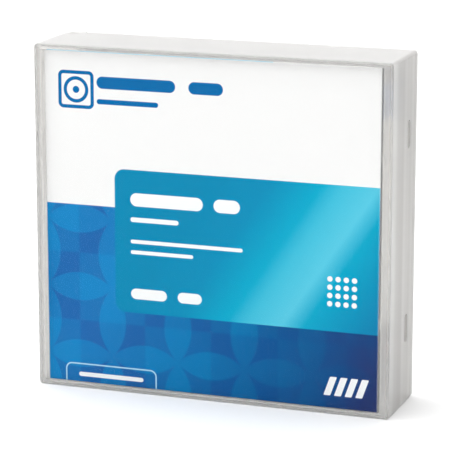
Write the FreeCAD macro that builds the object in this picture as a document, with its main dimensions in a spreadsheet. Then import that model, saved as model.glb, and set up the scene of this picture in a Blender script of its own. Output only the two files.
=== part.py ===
"""Half-inch data tape cartridge standing in its closed, hinged storage case.

X runs along the case's width, -Y is the front with the insert card, +Z is up.
The origin is the middle of the case's bottom face. Heights inside the cartridge
are counted from its hub face, which looks to the rear (+Y): level(h).
"""
import FreeCAD, Part
import math
import os
import Sketcher

doc = FreeCAD.newDocument("tape_case")

# ---------------------------------------------------------------- driving sizes
SIZES = {
    # cartridge shell
    "cart_length": 102.0,        # along X, nose to label end
    "cart_width": 105.4,         # along Z
    "shell_wall": 1.9,
    "shell_corner": 2.5,
    "shell_edge": 0.7,
    "guide_length": 9.0,         # bevelled nose corner
    "guide_depth": 5.0,
    "label_height": 76.0,        # recess for the label on the end face
    "label_width": 16.6,
    "label_depth": 0.5,
    "label_inset": 5.0,
    "notch_length": 7.0,         # notches for a picker's fingers
    "notch_width": 8.0,
    "notch_depth": 1.2,
    "notch_inset": 18.0,
    "datum_radius": 2.0,
    "datum_depth": 1.3,
    "datum_inset": 14.0,
    "datum_spread": 39.0,
    "groove_width": 0.8,         # finger grip on the cover
    "groove_pitch": 1.8,
    "groove_depth": 0.4,
    "groove_inset": 5.2,
    "groove_length": 52.0,
    "panel_depth": 0.3,          # bare panel on the cover
    "panel_height": 70.0,
    "panel_nose_inset": 16.0,
    "panel_label_inset": 28.0,
    # leader door
    "window_start": 4.2,         # from the nose
    "window_length": 23.0,
    "window_margin": 1.475,      # on each side of the tape
    "door_thick": 1.1,
    "door_overlap": 1.6,
    "door_travel": 19.0,
    "door_lip": 1.3,
    "door_lip_inset": 0.3,
    "door_spring_radius": 0.8,
    "door_spring_wire": 0.2,
    "door_spring_turns": 7.0,
    "door_spring_spare": 4.0,    # room that the closed-up coil needs
    "spring_stop": 2.0,
    # reel
    "reel_clearance": 0.9,       # to the end walls
    "reel_under": 1.0,
    "reel_over": 1.7,
    "pack_margin": 2.0,
    "hub_radius": 22.0,
    "hub_wall": 2.0,
    "hub_floor": 1.8,
    "tape_width": 12.65,
    "tape_slack": 0.35,
    "flange_thick": 1.0,
    "collar_width": 1.5,
    "collar_height": 1.0,
    "clutch_gap": 0.1,           # between the drive teeth and the brake's ring
    "clutch_width": 3.9,
    "clutch_drop": 1.2,          # ring below the flange, without teeth
    "tooth_height": 0.8,
    "tooth_inset": 0.1,
    "tooth_share": 0.42,         # of a tooth's pitch
    "clutch_teeth": 48.0,
    "plate_inner": 4.6,
    "plate_thick": 0.7,
    "plate_gap": 0.05,
    "centre_hole": 3.6,
    "opening_gap": 0.5,          # hub opening round the drive teeth
    "guard_inset": 6.0,
    "guard_width": 1.2,
    "guard_height": 0.5,
    # brake and release
    "brake_gap": 0.5,
    "brake_ring": 2.6,
    "brake_teeth": 24.0,
    "brake_thick": 1.5,
    "brake_boss": 5.6,
    "brake_boss_height": 6.2,
    "spline_floor": 0.5,
    "post_arm": 3.4,
    "post_half": 1.0,
    "post_reach": 3.1,           # into the brake's boss
    "leg_radius": 1.2,
    "spider_radius": 8.0,
    "spider_thick": 1.3,
    "spider_gap": 0.15,
    "spring_radius": 7.6,
    "spring_wire": 0.45,
    "spring_turns": 3.0,
    "seat_wall": 1.0,
    "seat_height": 0.8,
    # leader pin
    "pin_inset": 10.4,           # from nose and from the door side
    "pin_radius": 1.25,
    "pin_head": 2.4,
    "pin_head_thick": 1.4,
    "pin_end_gap": 0.3,
    "clip_gap": 0.1,
    "clip_thick": 0.6,
    "clip_mouth": 1.6,
    "leader_thick": 0.2,
    "leader_lift": 0.3,
    "leaf_thick": 0.35,
    "leaf_width": 1.2,
    "leaf_gap": 0.15,
    "leaf_side": 0.35,
    "leaf_tip": 1.4,
    "leaf_inset": 0.1,
    # write protect tab and memory
    "tab_centre": 18.5,          # from the cartridge's lower side
    "tab_window": 9.0,
    "tab_window_width": 5.0,
    "tab_travel": 4.6,
    "tab_thick": 1.2,
    "tab_cover": 1.4,            # overlap beside the window
    "tab_end": 0.6,              # overlap beyond the window's ends
    "nub_inset": 0.3,
    "guide_setback": 0.5,
    "chip_side": 10.0,
    "chip_thick": 0.8,
    "chip_body": 4.0,
    "chip_bump": 0.5,
    "chip_inset": 21.0,
    "chip_gap": 0.3,
    # screws
    "screw_inset": 5.0,
    "screw_head": 2.3,
    "screw_shank": 1.1,
    "screw_length": 15.0,
    "screw_sunk": 0.3,
    "sink_depth": 1.5,
    "sink_gap": 0.15,
    "drive_half": 0.35,
    "drive_reach": 1.4,
    "drive_depth": 0.6,
    "boss_radius": 2.9,
    # case
    "case_wall": 1.0,
    "face_wall": 1.2,
    "fence_wall": 0.9,
    "fence_depth": 10.0,
    "fit_gap": 0.2,
    "case_corner": 1.2,
    "case_edge": 0.5,
    "seam_depth": 3.0,
    "seam_gap": 0.15,
    "hinge_inset": 4.0,
    "hinge_pin": 1.5,
    "hinge_recess": 0.1,
    "ear_wall": 1.05,
    "running_gap": 0.08,
    "swing_gap": 0.3,
    "latch_spread": 30.5,
    "latch_width": 8.0,
    "latch_thick": 0.8,
    "latch_bump": 0.35,
    "tongue_gap": 0.7,
    "tongue_tip": 0.7,
    "channel_gap": 0.9,          # from a channel rib to the opening wall
    "channel_spread": 23.5,
    "slot_length": 9.0,
    "slot_width": 3.0,
    "rib_thick": 1.0,
    "back_rib": 0.9,
    "back_rib_spread": 35.0,
    "back_rib_inset": 6.0,
    "hub_rib_gap": 5.0,
    "stub_length": 15.0,
    "stub_inset": 7.5,
    # insert card
    "front_gap": 0.5,
    "card_thick": 0.3,
    "card_gap": 0.1,
    "card_slack": 0.9,
    "card_margin": 0.7,
    "rail_inset": 3.1,
    "rail_height": 1.5,
    "card_tab_reach": 2.0,
    "card_tab_height": 3.2,
    "card_tab_thick": 0.8,
    "card_tab_spread": 25.5,
}

JOIN = 0.1       # how far a boss or rib starts inside the wall that it grows from
PAST = 1.0       # how far a cut runs beyond the face that it opens
GROOVES = 9
LEGS = 3

sheet = doc.addObject("Spreadsheet::Sheet", "Sizes")
for row, (alias, number) in enumerate(SIZES.items(), start=1):
    sheet.set(f"A{row}", alias)
    sheet.set(f"B{row}", str(number))
    sheet.setAlias(f"B{row}", alias)
doc.recompute()


class Size:
    """A number together with the sheet formula that it comes from."""

    def __init__(self, value, text):
        self.value = float(value)
        self.text = text

    @staticmethod
    def of(other):
        return other if isinstance(other, Size) else Size(other, f"({other})")

    def __add__(self, other):
        other = Size.of(other)
        return Size(self.value + other.value, f"({self.text} + {other.text})")

    def __sub__(self, other):
        other = Size.of(other)
        return Size(self.value - other.value, f"({self.text} - {other.text})")

    def __mul__(self, other):
        other = Size.of(other)
        return Size(self.value * other.value, f"({self.text} * {other.text})")

    def __truediv__(self, other):
        other = Size.of(other)
        return Size(self.value / other.value, f"({self.text} / {other.text})")

    def __neg__(self):
        return Size(0, "0") - self

    def __radd__(self, other):
        return Size.of(other) + self

    def __rsub__(self, other):
        return Size.of(other) - self

    def __rmul__(self, other):
        return Size.of(other) * self

    def __float__(self):
        return self.value


def cell(alias):
    """The sheet's value for one alias."""
    return Size(sheet.get(alias), f"Sizes.{alias}")


def smaller(a, b):
    return Size(min(float(a), float(b)), f"min({a.text}; {b.text})")


# ------------------------------------------------------------- derived places
# The reel fills the cartridge as far as the end walls and the door's guides let it.
door_room = cell("door_thick") + cell("fit_gap") * 3 + cell("fence_wall")
reel_radius = smaller(cell("cart_length") / 2 - cell("shell_wall") - cell("reel_clearance"),
                      cell("cart_width") / 2 - cell("shell_wall") - door_room)
pack_radius = reel_radius - cell("pack_margin")
reel_low = cell("shell_wall") + cell("reel_under")
flange_top = reel_low + cell("flange_thick")
tape_low = flange_top + cell("tape_slack") / 2
tape_high = tape_low + cell("tape_width")
reel_top = flange_top + cell("tape_width") + cell("tape_slack")
ceiling = reel_top + cell("flange_thick") + cell("reel_over")
cart_thick = ceiling + cell("shell_wall")
part_line = cart_thick / 2
floor_top = cell("shell_wall")

# inside the hub, from the barrel's bore inwards: brake teeth, then drive teeth
hub_bore = cell("hub_radius") - cell("hub_wall")
brake_outer = hub_bore - cell("brake_gap")
brake_inner = brake_outer - cell("brake_ring")
clutch_outer = brake_inner - cell("clutch_gap")
clutch_inner = clutch_outer - cell("clutch_width")
leg_circle = (clutch_outer + clutch_inner) / 2
hub_opening = clutch_outer + cell("opening_gap")
hub_floor_top = flange_top + cell("hub_floor")
brake_ring_top = hub_floor_top + cell("tooth_height")
spider_low = hub_floor_top + cell("spider_gap")
spider_top = spider_low + cell("spider_thick")
brake_web = spider_top + cell("fit_gap")
brake_top = brake_web + cell("brake_thick")
ring_low = reel_low - cell("clutch_drop")
drive_tips = ring_low - cell("tooth_height")

# the case leaves room for the hinge barrel, the snap tongues, the card and the back ribs
hinge_room = (cell("hinge_inset") * 2 + cell("swing_gap") * 2 + cell("fence_wall")
              + cell("fit_gap"))
tongue_room = cell("latch_bump") * 2 + cell("latch_thick") + cell("tongue_gap")
latch_room = cell("case_wall") + tongue_room + cell("fence_wall") + cell("fit_gap")
front_room = cell("face_wall") + cell("rail_height") + cell("front_gap")
back_room = cell("face_wall") + cell("back_rib") + cell("fit_gap")
cradle = cell("case_wall") + cell("fit_gap") * 2 + cell("fence_wall")
case_width = cell("cart_length") + hinge_room + latch_room
case_depth = cart_thick + front_room + back_room
case_height = cell("cart_width") + cradle * 2
left = -(case_width / 2)
right = case_width / 2
front = -(case_depth / 2)
back = case_depth / 2
seam = back - cell("seam_depth")
inside_front = front + cell("face_wall")
inside_back = back - cell("face_wall")
fence_front = inside_back - cell("fence_depth")
slot_y = fence_front + cell("tongue_tip") + cell("slot_width") / 2
middle = case_height / 2

x_label = right - latch_room
x_nose = x_label - cell("cart_length")
z_low = cradle
z_high = cradle + cell("cart_width")
y_top = front + front_room
y_hub = y_top + cart_thick
reel_x = (x_nose + x_label) / 2
reel_z = middle

pivot_x = left + cell("hinge_inset")
pivot_y = back - cell("hinge_inset")

pin_x = x_nose + cell("pin_inset")
pin_z = z_high - cell("pin_inset")
door_outer = z_high - cell("shell_wall") - cell("fit_gap")
door_inner = door_outer - cell("door_thick")
door_guide = door_inner - cell("fit_gap")
window_x = x_nose + cell("window_start")
window_end = window_x + cell("window_length")
window_low = part_line - cell("tape_width") / 2 - cell("window_margin")
window_high = part_line + cell("tape_width") / 2 + cell("window_margin")
door_start = window_x - cell("door_overlap")
door_end = window_end + cell("door_overlap")
door_spring_end = door_end + cell("door_travel") + cell("door_spring_spare")
tab_z = z_low + cell("tab_centre")
tab_foot = tab_z - cell("tab_window") / 2
tab_x = x_label - cell("shell_wall") - cell("fit_gap")


def level(height):
    """Y of a height counted from the cartridge's hub face."""
    return y_hub - height

# --------------------------------------------------------------- sketch helpers
# Each plane gives the sketch's local axes and the sign of its normal along the
# third world axis: the XZ plane looks to -Y, the others to + of their normal.
NORMAL_SIGN = {"XY_Plane": 1, "XZ_Plane": -1, "YZ_Plane": 1}


def new_body(name):
    body = doc.addObject("PartDesign::Body", name)
    body.Label = name
    return body


def new_sketch(body, name, plane, place):
    """A sketch parallel to an origin plane, at a world coordinate along its normal."""
    sketch = body.newObject("Sketcher::SketchObject", name)
    support = [o for o in body.Origin.OriginFeatures if o.Role == plane][0]
    sketch.AttachmentSupport = [(support, "")]
    sketch.MapMode = "FlatFace"
    offset = Size.of(place) * NORMAL_SIGN[plane]
    sketch.setExpression(".AttachmentOffset.Base.z", offset.text)
    return sketch


def fix_point(sketch, geometry, end, x, y):
    """Tie one end of a sketch edge to sheet formulas."""
    x, y = Size.of(x), Size.of(y)
    for kind, place in (("DistanceX", x), ("DistanceY", y)):
        index = sketch.addConstraint(
            Sketcher.Constraint(kind, -1, 1, geometry, end, place.value))
        sketch.setExpression(f"Constraints[{index}]", place.text)


def add_polygon(sketch, points):
    """A closed outline of straight edges through the given places."""
    corners = [FreeCAD.Vector(float(Size.of(x)), float(Size.of(y)), 0) for x, y in points]
    count = len(corners)
    edges = [sketch.addGeometry(Part.LineSegment(corners[i], corners[(i + 1) % count]), False)
             for i in range(count)]
    for i in range(count):
        sketch.addConstraint(
            Sketcher.Constraint("Coincident", edges[i], 2, edges[(i + 1) % count], 1))
        fix_point(sketch, edges[i], 1, *points[i])


def add_circle(sketch, x, y, radius):
    """A full circle tied to sheet formulas."""
    x, y, radius = Size.of(x), Size.of(y), Size.of(radius)
    centre = FreeCAD.Vector(x.value, y.value, 0)
    ring = sketch.addGeometry(Part.Circle(centre, FreeCAD.Vector(0, 0, 1), radius.value), False)
    fix_point(sketch, ring, 3, x, y)
    index = sketch.addConstraint(Sketcher.Constraint("Radius", ring, radius.value))
    sketch.setExpression(f"Constraints[{index}]", radius.text)


def add_corner_waste(sketch, x, y, radius, x_sign, y_sign):
    """The waste outside a rounded corner whose sharp point would be (x, y).

    x_sign and y_sign point from the corner out of the piece.
    """
    x, y, radius = Size.of(x), Size.of(y), Size.of(radius)
    inner_x, inner_y = x - radius * x_sign, y - radius * y_sign
    outer_x, outer_y = x + PAST * x_sign, y + PAST * y_sign
    places = [(x, inner_y), (outer_x, inner_y), (outer_x, outer_y), (inner_x, outer_y),
              (inner_x, y)]
    corners = [FreeCAD.Vector(float(px), float(py), 0) for px, py in places]
    lines = [sketch.addGeometry(Part.LineSegment(corners[i], corners[i + 1]), False)
             for i in range(4)]
    # arcs run anticlockwise, so the corner's quadrant decides which end is the start
    start_angle = {(1, 1): 0, (-1, 1): 90, (-1, -1): 180, (1, -1): 270}[(x_sign, y_sign)]
    circle = Part.Circle(FreeCAD.Vector(inner_x.value, inner_y.value, 0),
                         FreeCAD.Vector(0, 0, 1), radius.value)
    arc = sketch.addGeometry(
        Part.ArcOfCircle(circle, math.radians(start_angle), math.radians(start_angle + 90)),
        False)
    for i in range(3):
        sketch.addConstraint(Sketcher.Constraint("Coincident", lines[i], 2, lines[i + 1], 1))
    for i in range(4):
        fix_point(sketch, lines[i], 1, *places[i])
    fix_point(sketch, lines[3], 2, *places[4])
    first, second = (2, 1) if x_sign * y_sign > 0 else (1, 2)
    sketch.addConstraint(Sketcher.Constraint("Coincident", arc, first, lines[3], 2))
    sketch.addConstraint(Sketcher.Constraint("Coincident", arc, second, lines[0], 1))
    index = sketch.addConstraint(Sketcher.Constraint("Radius", arc, radius.value))
    sketch.setExpression(f"Constraints[{index}]", radius.text)


def box_points(x0, x1, y0, y1):
    """Corners of a rectangle between two pairs of coordinates."""
    return [(x0, y0), (x1, y0), (x1, y1), (x0, y1)]


def grow(body, sketch, length):
    """Pad along the sketch's normal."""
    pad = body.newObject("PartDesign::Pad", f"{sketch.Name}_pad")
    pad.Profile = sketch
    pad.setExpression("Length", Size.of(length).text)
    sketch.Visibility = False
    return pad


def sink(body, sketch, length):
    """Pocket against the sketch's normal."""
    pocket = body.newObject("PartDesign::Pocket", f"{sketch.Name}_pocket")
    pocket.Profile = sketch
    pocket.setExpression("Length", Size.of(length).text)
    return pocket


def prism(body, name, plane, low, high, outlines, cut=False):
    """Add or cut a prism between two world coordinates along the plane's normal axis.

    outlines is a list of point lists and (x, y, radius) circles in the plane.
    """
    low, high = Size.of(low), Size.of(high)
    from_low = (NORMAL_SIGN[plane] == 1) != cut
    sketch = new_sketch(body, name, plane, low if from_low else high)
    for outline in outlines:
        if isinstance(outline, tuple):
            add_circle(sketch, *outline)
        else:
            add_polygon(sketch, outline)
    action = sink if cut else grow
    return action(body, sketch, high - low)


def pattern_round(body, feature, axis_sketch, count):
    """Repeat a feature in a full turn about a sketch's normal axis."""
    pattern = body.newObject("PartDesign::PolarPattern", f"{feature.Name}_ring")
    pattern.Originals = [feature]
    pattern.Axis = (axis_sketch, ["N_Axis"])
    pattern.Angle = 360
    pattern.setExpression("Occurrences", Size.of(count).text)
    body.Tip = pattern
    return pattern


def edges_where(feature, test):
    """Names of a feature's edges whose end and middle points pass a test."""
    names = []
    for number, edge in enumerate(feature.Shape.Edges, start=1):
        middle_point = edge.valueAt((edge.FirstParameter + edge.LastParameter) / 2)
        points = [vertex.Point for vertex in edge.Vertexes] + [middle_point]
        if all(test(point) for point in points):
            names.append(f"Edge{number}")
    return names


def near(a, b):
    return abs(float(a) - float(b)) < 1e-4


def round_edges(body, feature, test, radius, name, kind="Fillet"):
    """Round or bevel the feature's edges that pass the test."""
    doc.recompute()
    names = edges_where(feature, test)
    dress = body.newObject(f"PartDesign::{kind}", name)
    dress.Base = (feature, names)
    dress.setExpression("Radius" if kind == "Fillet" else "Size", Size.of(radius).text)
    body.Tip = dress
    return dress


def corner_edges(x0, x1, z0, z1):
    """Test for the four edges along Y of a box in X and Z."""
    def test(point):
        return ((near(point.x, x0) or near(point.x, x1))
                and (near(point.z, z0) or near(point.z, z1)))
    return test


def turned(centre_x, centre_z, radius, angle):
    """A point on a circle about (centre_x, centre_z), in the XZ plane; angle in degrees."""
    cosine = Size.of(round(math.cos(math.radians(angle)), 12))
    sine = Size.of(round(math.sin(math.radians(angle)), 12))
    return centre_x + Size.of(radius) * cosine, centre_z + Size.of(radius) * sine


# ------------------------------------------------------------------- the case
def make_case_lid():
    """Front shell: front face, three side walls, spine wall with a hinge barrel."""
    body = new_body("case_lid")
    wall = cell("case_wall")
    shell = prism(body, "lid_outside", "XZ_Plane", front, seam,
                  [box_points(left, right, 0, case_height)])
    shell = round_edges(body, shell, corner_edges(left, right, 0, case_height),
                        cell("case_corner"), "lid_corners")
    round_edges(body, shell, lambda p: near(p.y, front), cell("case_edge"), "lid_edge")
    prism(body, "barrel_outside", "XY_Plane", 0, case_height,
          [(pivot_x, pivot_y, cell("hinge_inset"))])
    prism(body, "lid_inside", "XZ_Plane", inside_front, seam + PAST,
          [box_points(left + wall, right - wall, wall, case_height - wall)], cut=True)
    prism(body, "barrel_inside", "XY_Plane", wall, case_height - wall,
          [(pivot_x, pivot_y, cell("hinge_inset") - wall)], cut=True)
    # the barrel is open towards the inside of the case
    reach = pivot_x + cell("hinge_inset") + PAST
    prism(body, "barrel_mouth", "XY_Plane", wall, case_height - wall,
          [box_points(pivot_x + cell("hinge_inset") / 2, reach, pivot_y, back + PAST)], cut=True)
    # the barrel's ends follow the rounded corners of the front face
    for name, corner_z, sign in (("low", Size.of(0), -1), ("high", case_height, 1)):
        sketch = new_sketch(body, f"barrel_corner_{name}", "XZ_Plane",
                            pivot_y - cell("hinge_inset"))
        add_corner_waste(sketch, left, corner_z, cell("case_corner"), -1, sign)
        sink(body, sketch, cell("hinge_inset") * 2 + PAST)
    # room for the rear shell's ears at both ends of the barrel
    ear_room = cell("fit_gap") * 2 + cell("fence_wall")
    for name, low in (("low", wall), ("high", case_height - wall - ear_room)):
        prism(body, f"ear_room_{name}", "XY_Plane", low, low + ear_room,
              [box_points(left - PAST, reach, pivot_y, back + PAST)], cut=True)
    for name, low in (("low", Size.of(0)), ("high", case_height - wall)):
        prism(body, f"hinge_hole_{name}", "XY_Plane", low, low + wall,
              [(pivot_x, pivot_y, cell("hinge_pin") + cell("running_gap"))], cut=True)
    cut_latch_slots(body)
    add_card_rails(body)
    return body


def cut_latch_slots(body):
    """Round-ended windows in the opening wall for the snap tongues."""
    half_width = cell("slot_width") / 2
    straight = cell("slot_length") / 2 - half_width
    low, high = right - cell("case_wall") - JOIN, right + JOIN
    for sign, name in ((-1, "low"), (1, "high")):
        slot_z = middle + cell("latch_spread") * sign
        prism(body, f"slot_{name}", "YZ_Plane", low, high,
              [box_points(slot_y - half_width, slot_y + half_width,
                          slot_z - straight, slot_z + straight)], cut=True)
        for end, end_name in ((-1, "foot"), (1, "head")):
            prism(body, f"slot_{name}_{end_name}", "YZ_Plane", low, high,
                  [(slot_y, slot_z + straight * end, half_width)], cut=True)


def add_card_rails(body):
    """Thick ledges beside the insert card, with tabs that reach over its edges."""
    wall = cell("case_wall")
    rail_top = inside_front + cell("rail_height")
    for name, rail_x, wall_x, inwards in (("left", left + cell("rail_inset"), left + wall, 1),
                                          ("right", right - cell("rail_inset"), right - wall, -1)):
        prism(body, f"rail_{name}", "XZ_Plane", inside_front - JOIN, rail_top,
              [box_points(rail_x, wall_x - JOIN * inwards, wall - JOIN, case_height - wall + JOIN)])
        tip_x = rail_x + cell("card_tab_reach") * inwards
        for sign, place in ((-1, "low"), (1, "high")):
            tab_low = middle + cell("card_tab_spread") * sign - cell("card_tab_height") / 2
            prism(body, f"card_tab_{name}_{place}", "XZ_Plane",
                  rail_top - cell("card_tab_thick"), rail_top,
                  [box_points(rail_x - JOIN * inwards, tip_x,
                              tab_low, tab_low + cell("card_tab_height"))])


def make_case_base():
    """Rear shell: back wall with a low rim, cradle fences, hinge ears and snap tongues."""
    body = new_body("case_base")
    wall = cell("case_wall")
    rim_front = seam + cell("seam_gap")
    shell = prism(body, "base_outside", "XZ_Plane", rim_front, back,
                  [box_points(left, right, 0, case_height)])
    shell = round_edges(body, shell, corner_edges(left, right, 0, case_height),
                        cell("case_corner"), "base_corners")
    round_edges(body, shell, lambda p: near(p.y, back), cell("case_edge"), "base_edge")
    prism(body, "base_inside", "XZ_Plane", rim_front - PAST, inside_back,
          [box_points(left - PAST, right - wall, wall, case_height - wall)], cut=True)
    # the spine side is cut back to a hollow that the lid's barrel turns in
    swing = cell("hinge_inset") + cell("swing_gap")
    prism(body, "barrel_hollow", "XY_Plane", -PAST, case_height + PAST,
          [(pivot_x, pivot_y, swing)], cut=True)
    prism(body, "spine_cut", "XY_Plane", -PAST, case_height + PAST,
          [box_points(left - PAST, pivot_x + swing / 3, rim_front - PAST, back + PAST)], cut=True)
    add_cradle(body)
    add_back_ribs(body)
    add_snap_tongues(body)
    add_channel_ribs(body)
    return body


def add_cradle(body):
    """Fences round the cartridge; the two long ones end in hinge ears with pins."""
    wall, fence, gap = cell("case_wall"), cell("fence_wall"), cell("fit_gap")
    nose_fence = x_nose - gap - fence
    ear = cell("hinge_pin") + cell("ear_wall")
    pin_length = wall + gap + JOIN - cell("hinge_recess")
    for name, low, pin_low in (
            ("low", wall + gap, cell("hinge_recess")),
            ("high", case_height - wall - gap - fence, case_height - wall - gap - JOIN)):
        prism(body, f"fence_{name}", "XY_Plane", low, low + fence,
              [box_points(nose_fence, x_label + gap + fence, fence_front, inside_back + JOIN)])
        prism(body, f"ear_{name}", "XY_Plane", low, low + fence,
              [box_points(pivot_x, nose_fence + JOIN, pivot_y - ear, pivot_y + ear / 2)])
        prism(body, f"ear_end_{name}", "XY_Plane", low, low + fence, [(pivot_x, pivot_y, ear)])
        prism(body, f"hinge_pin_{name}", "XY_Plane", pin_low, pin_low + pin_length,
              [(pivot_x, pivot_y, cell("hinge_pin"))])
    stub, inset = cell("stub_length"), cell("stub_inset")
    for name, low in (("low", z_low + inset), ("high", z_high - inset - stub)):
        for end, fence_x in (("nose", nose_fence), ("label", x_label + gap)):
            prism(body, f"fence_{end}_{name}", "XZ_Plane", fence_front, inside_back + JOIN,
                  [box_points(fence_x, fence_x + fence, low, low + stub)])


def add_back_ribs(body):
    """Bearing ribs that the cartridge's hub face lies on."""
    rib_front = y_hub + cell("fit_gap")
    ring = hub_opening + cell("hub_rib_gap")
    prism(body, "hub_rib", "XZ_Plane", rib_front, inside_back + JOIN,
          [(reel_x, reel_z, ring + cell("rib_thick")), (reel_x, reel_z, ring)])
    inset, half = cell("back_rib_inset"), cell("rib_thick") / 2
    for sign, name in ((-1, "low"), (1, "high")):
        rib_z = middle + cell("back_rib_spread") * sign
        prism(body, f"back_rib_{name}", "XZ_Plane", rib_front, inside_back + JOIN,
              [box_points(x_nose + inset, x_label - inset, rib_z - half, rib_z + half)])


def add_snap_tongues(body):
    """Springy tongues whose bumps click into the lid's slots."""
    half = cell("latch_width") / 2
    outer_x = right - cell("case_wall") - cell("latch_bump") * 2
    bump_x = outer_x + cell("latch_bump")
    bump = cell("slot_width") / 2 - cell("fit_gap")
    for sign, name in ((-1, "low"), (1, "high")):
        latch_z = middle + cell("latch_spread") * sign
        prism(body, f"tongue_{name}", "XZ_Plane", fence_front, inside_back + JOIN,
              [box_points(outer_x - cell("latch_thick"), outer_x, latch_z - half, latch_z + half)])
        prism(body, f"bump_{name}", "XY_Plane", latch_z - half, latch_z + half,
              [[(outer_x - JOIN, slot_y - bump), (bump_x, slot_y + bump / 2),
                (bump_x, slot_y + bump), (outer_x - JOIN, slot_y + bump)]])


def add_channel_ribs(body):
    """Short walls across the tongues' channel that stiffen the back's edge."""
    half = cell("fence_wall") / 2
    rib_end = right - cell("case_wall") - cell("channel_gap")
    for sign, name in ((-1, "low"), (1, "high")):
        rib_z = middle + cell("channel_spread") * sign
        prism(body, f"channel_rib_{name}", "XZ_Plane", fence_front, inside_back + JOIN,
              [box_points(x_label + cell("fit_gap"), rib_end, rib_z - half, rib_z + half)])


def make_insert_card():
    """Printed card behind the front face, between the rails."""
    body = new_body("insert_card")
    card_left = left + cell("rail_inset") + cell("card_gap")
    card_right = right - cell("rail_inset") - cell("card_slack")
    card_low = cell("case_wall") + cell("card_margin")
    card_front = inside_front + cell("card_gap")
    prism(body, "card_outline", "XZ_Plane", card_front, card_front + cell("card_thick"),
          [box_points(card_left, card_right, card_low, case_height - card_low)])
    return body


# -------------------------------------------------------------- cartridge shell
def shell_outline():
    """Plan of the cartridge: a rectangle with one bevelled nose corner."""
    return [(x_nose + cell("guide_length"), z_low), (x_label, z_low), (x_label, z_high),
            (x_nose, z_high), (x_nose, z_low + cell("guide_depth"))]


def shell_inside():
    """Plan of the room inside the cartridge's walls."""
    wall = cell("shell_wall")
    return [(x_nose + cell("guide_length") + wall, z_low + wall), (x_label - wall, z_low + wall),
            (x_label - wall, z_high - wall), (x_nose + wall, z_high - wall),
            (x_nose + wall, z_low + cell("guide_depth") + wall)]


def screw_places():
    """Screw axes in the four corners, clear of the reel, the pin and the memory."""
    inset = cell("screw_inset")
    return [(x_nose + inset, z_low + inset + cell("guide_depth")),
            (x_label - inset, z_low + inset),
            (x_label - inset, z_high - inset),
            (x_nose + inset, z_high - cell("pin_inset") - inset)]


def shell_half(body, name, outer_face, inner_face):
    """One open half of the cartridge, from its outer face to the part line."""
    seam_face = level(part_line)
    outwards = 1 if float(outer_face) > float(seam_face) else -1
    low, high = sorted((outer_face, seam_face), key=float)
    shell = prism(body, f"{name}_outside", "XZ_Plane", low, high, [shell_outline()])
    shell = round_edges(body, shell, corner_edges(x_label, x_nose, z_low, z_high),
                        cell("shell_corner"), f"{name}_corners")
    round_edges(body, shell, lambda p: near(p.y, outer_face), cell("shell_edge"), f"{name}_edge")
    low, high = sorted((inner_face, seam_face - PAST * outwards), key=float)
    prism(body, f"{name}_inside", "XZ_Plane", low, high, [shell_inside()], cut=True)
    # bosses that meet at the part line
    low, high = sorted((inner_face + JOIN * outwards, seam_face), key=float)
    for number, (x, z) in enumerate(screw_places(), start=1):
        prism(body, f"boss_{number}", "XZ_Plane", low, high, [(x, z, cell("boss_radius"))])


def cut_shared_openings(body, is_lower):
    """Openings that straddle the joint between the two shells."""
    def span(half):
        """Heights from the part line out to half a width, on this shell's side."""
        if is_lower:
            return level(part_line + JOIN), level(part_line - half)
        return level(part_line + half), level(part_line - JOIN)

    wall = cell("shell_wall")
    prism(body, "leader_window", "XY_Plane", z_high - wall - PAST, z_high + PAST,
          [box_points(window_x, window_end, *span(part_line - window_low))], cut=True)
    label_top = z_high - cell("label_inset")
    prism(body, "label_recess", "YZ_Plane", x_label - cell("label_depth"), x_label + PAST,
          [box_points(*span(cell("label_width") / 2),
                      label_top - cell("label_height"), label_top)], cut=True)
    # picker notches on both sides near the label end
    notch_x = x_label - cell("notch_inset")
    for name, z0, z1 in (("low", z_low - PAST, z_low + cell("notch_depth")),
                         ("high", z_high - cell("notch_depth"), z_high + PAST)):
        prism(body, f"picker_notch_{name}", "XY_Plane", z0, z1,
              [box_points(notch_x, notch_x + cell("notch_length"),
                          *span(cell("notch_width") / 2))], cut=True)
    prism(body, "tab_window_cut", "YZ_Plane", x_label - wall - PAST, x_label + PAST,
          [box_points(*span(cell("tab_window_width") / 2), tab_foot,
                      tab_foot + cell("tab_window"))], cut=True)


def add_slide_guides(body, face_height, is_lower):
    """Ribs behind the leader door and the write-protect tab, and the door spring's stop."""
    rib = cell("fence_wall")
    toward_face = -1 if is_lower else 1
    root = face_height + JOIN * toward_face
    window_edge = window_low if is_lower else window_high
    door_edge = window_edge - cell("door_overlap") / 2 * toward_face
    low, high = sorted((level(root), level(door_edge)), key=float)
    prism(body, "door_guide", "XY_Plane", door_guide - rib, door_guide,
          [box_points(door_start, door_end + cell("door_travel"), low, high)])
    low, high = sorted((level(part_line), level(part_line + cell("spring_stop") * toward_face)),
                       key=float)
    prism(body, "spring_stop", "XY_Plane", door_guide - rib, z_high - cell("shell_wall") + JOIN,
          [box_points(door_spring_end, door_spring_end + cell("rib_thick"), low, high)])
    guide_x = tab_x - cell("tab_thick") - cell("fit_gap")
    tab_edge = part_line + (cell("tab_window_width") / 2 + cell("guide_setback")) * toward_face
    low, high = sorted((level(root), level(tab_edge)), key=float)
    reach = cell("tab_window") / 2 + cell("tab_travel")
    prism(body, "tab_guide", "YZ_Plane", guide_x - rib, guide_x,
          [box_points(low, high, tab_z - reach, tab_z + reach)])


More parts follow.
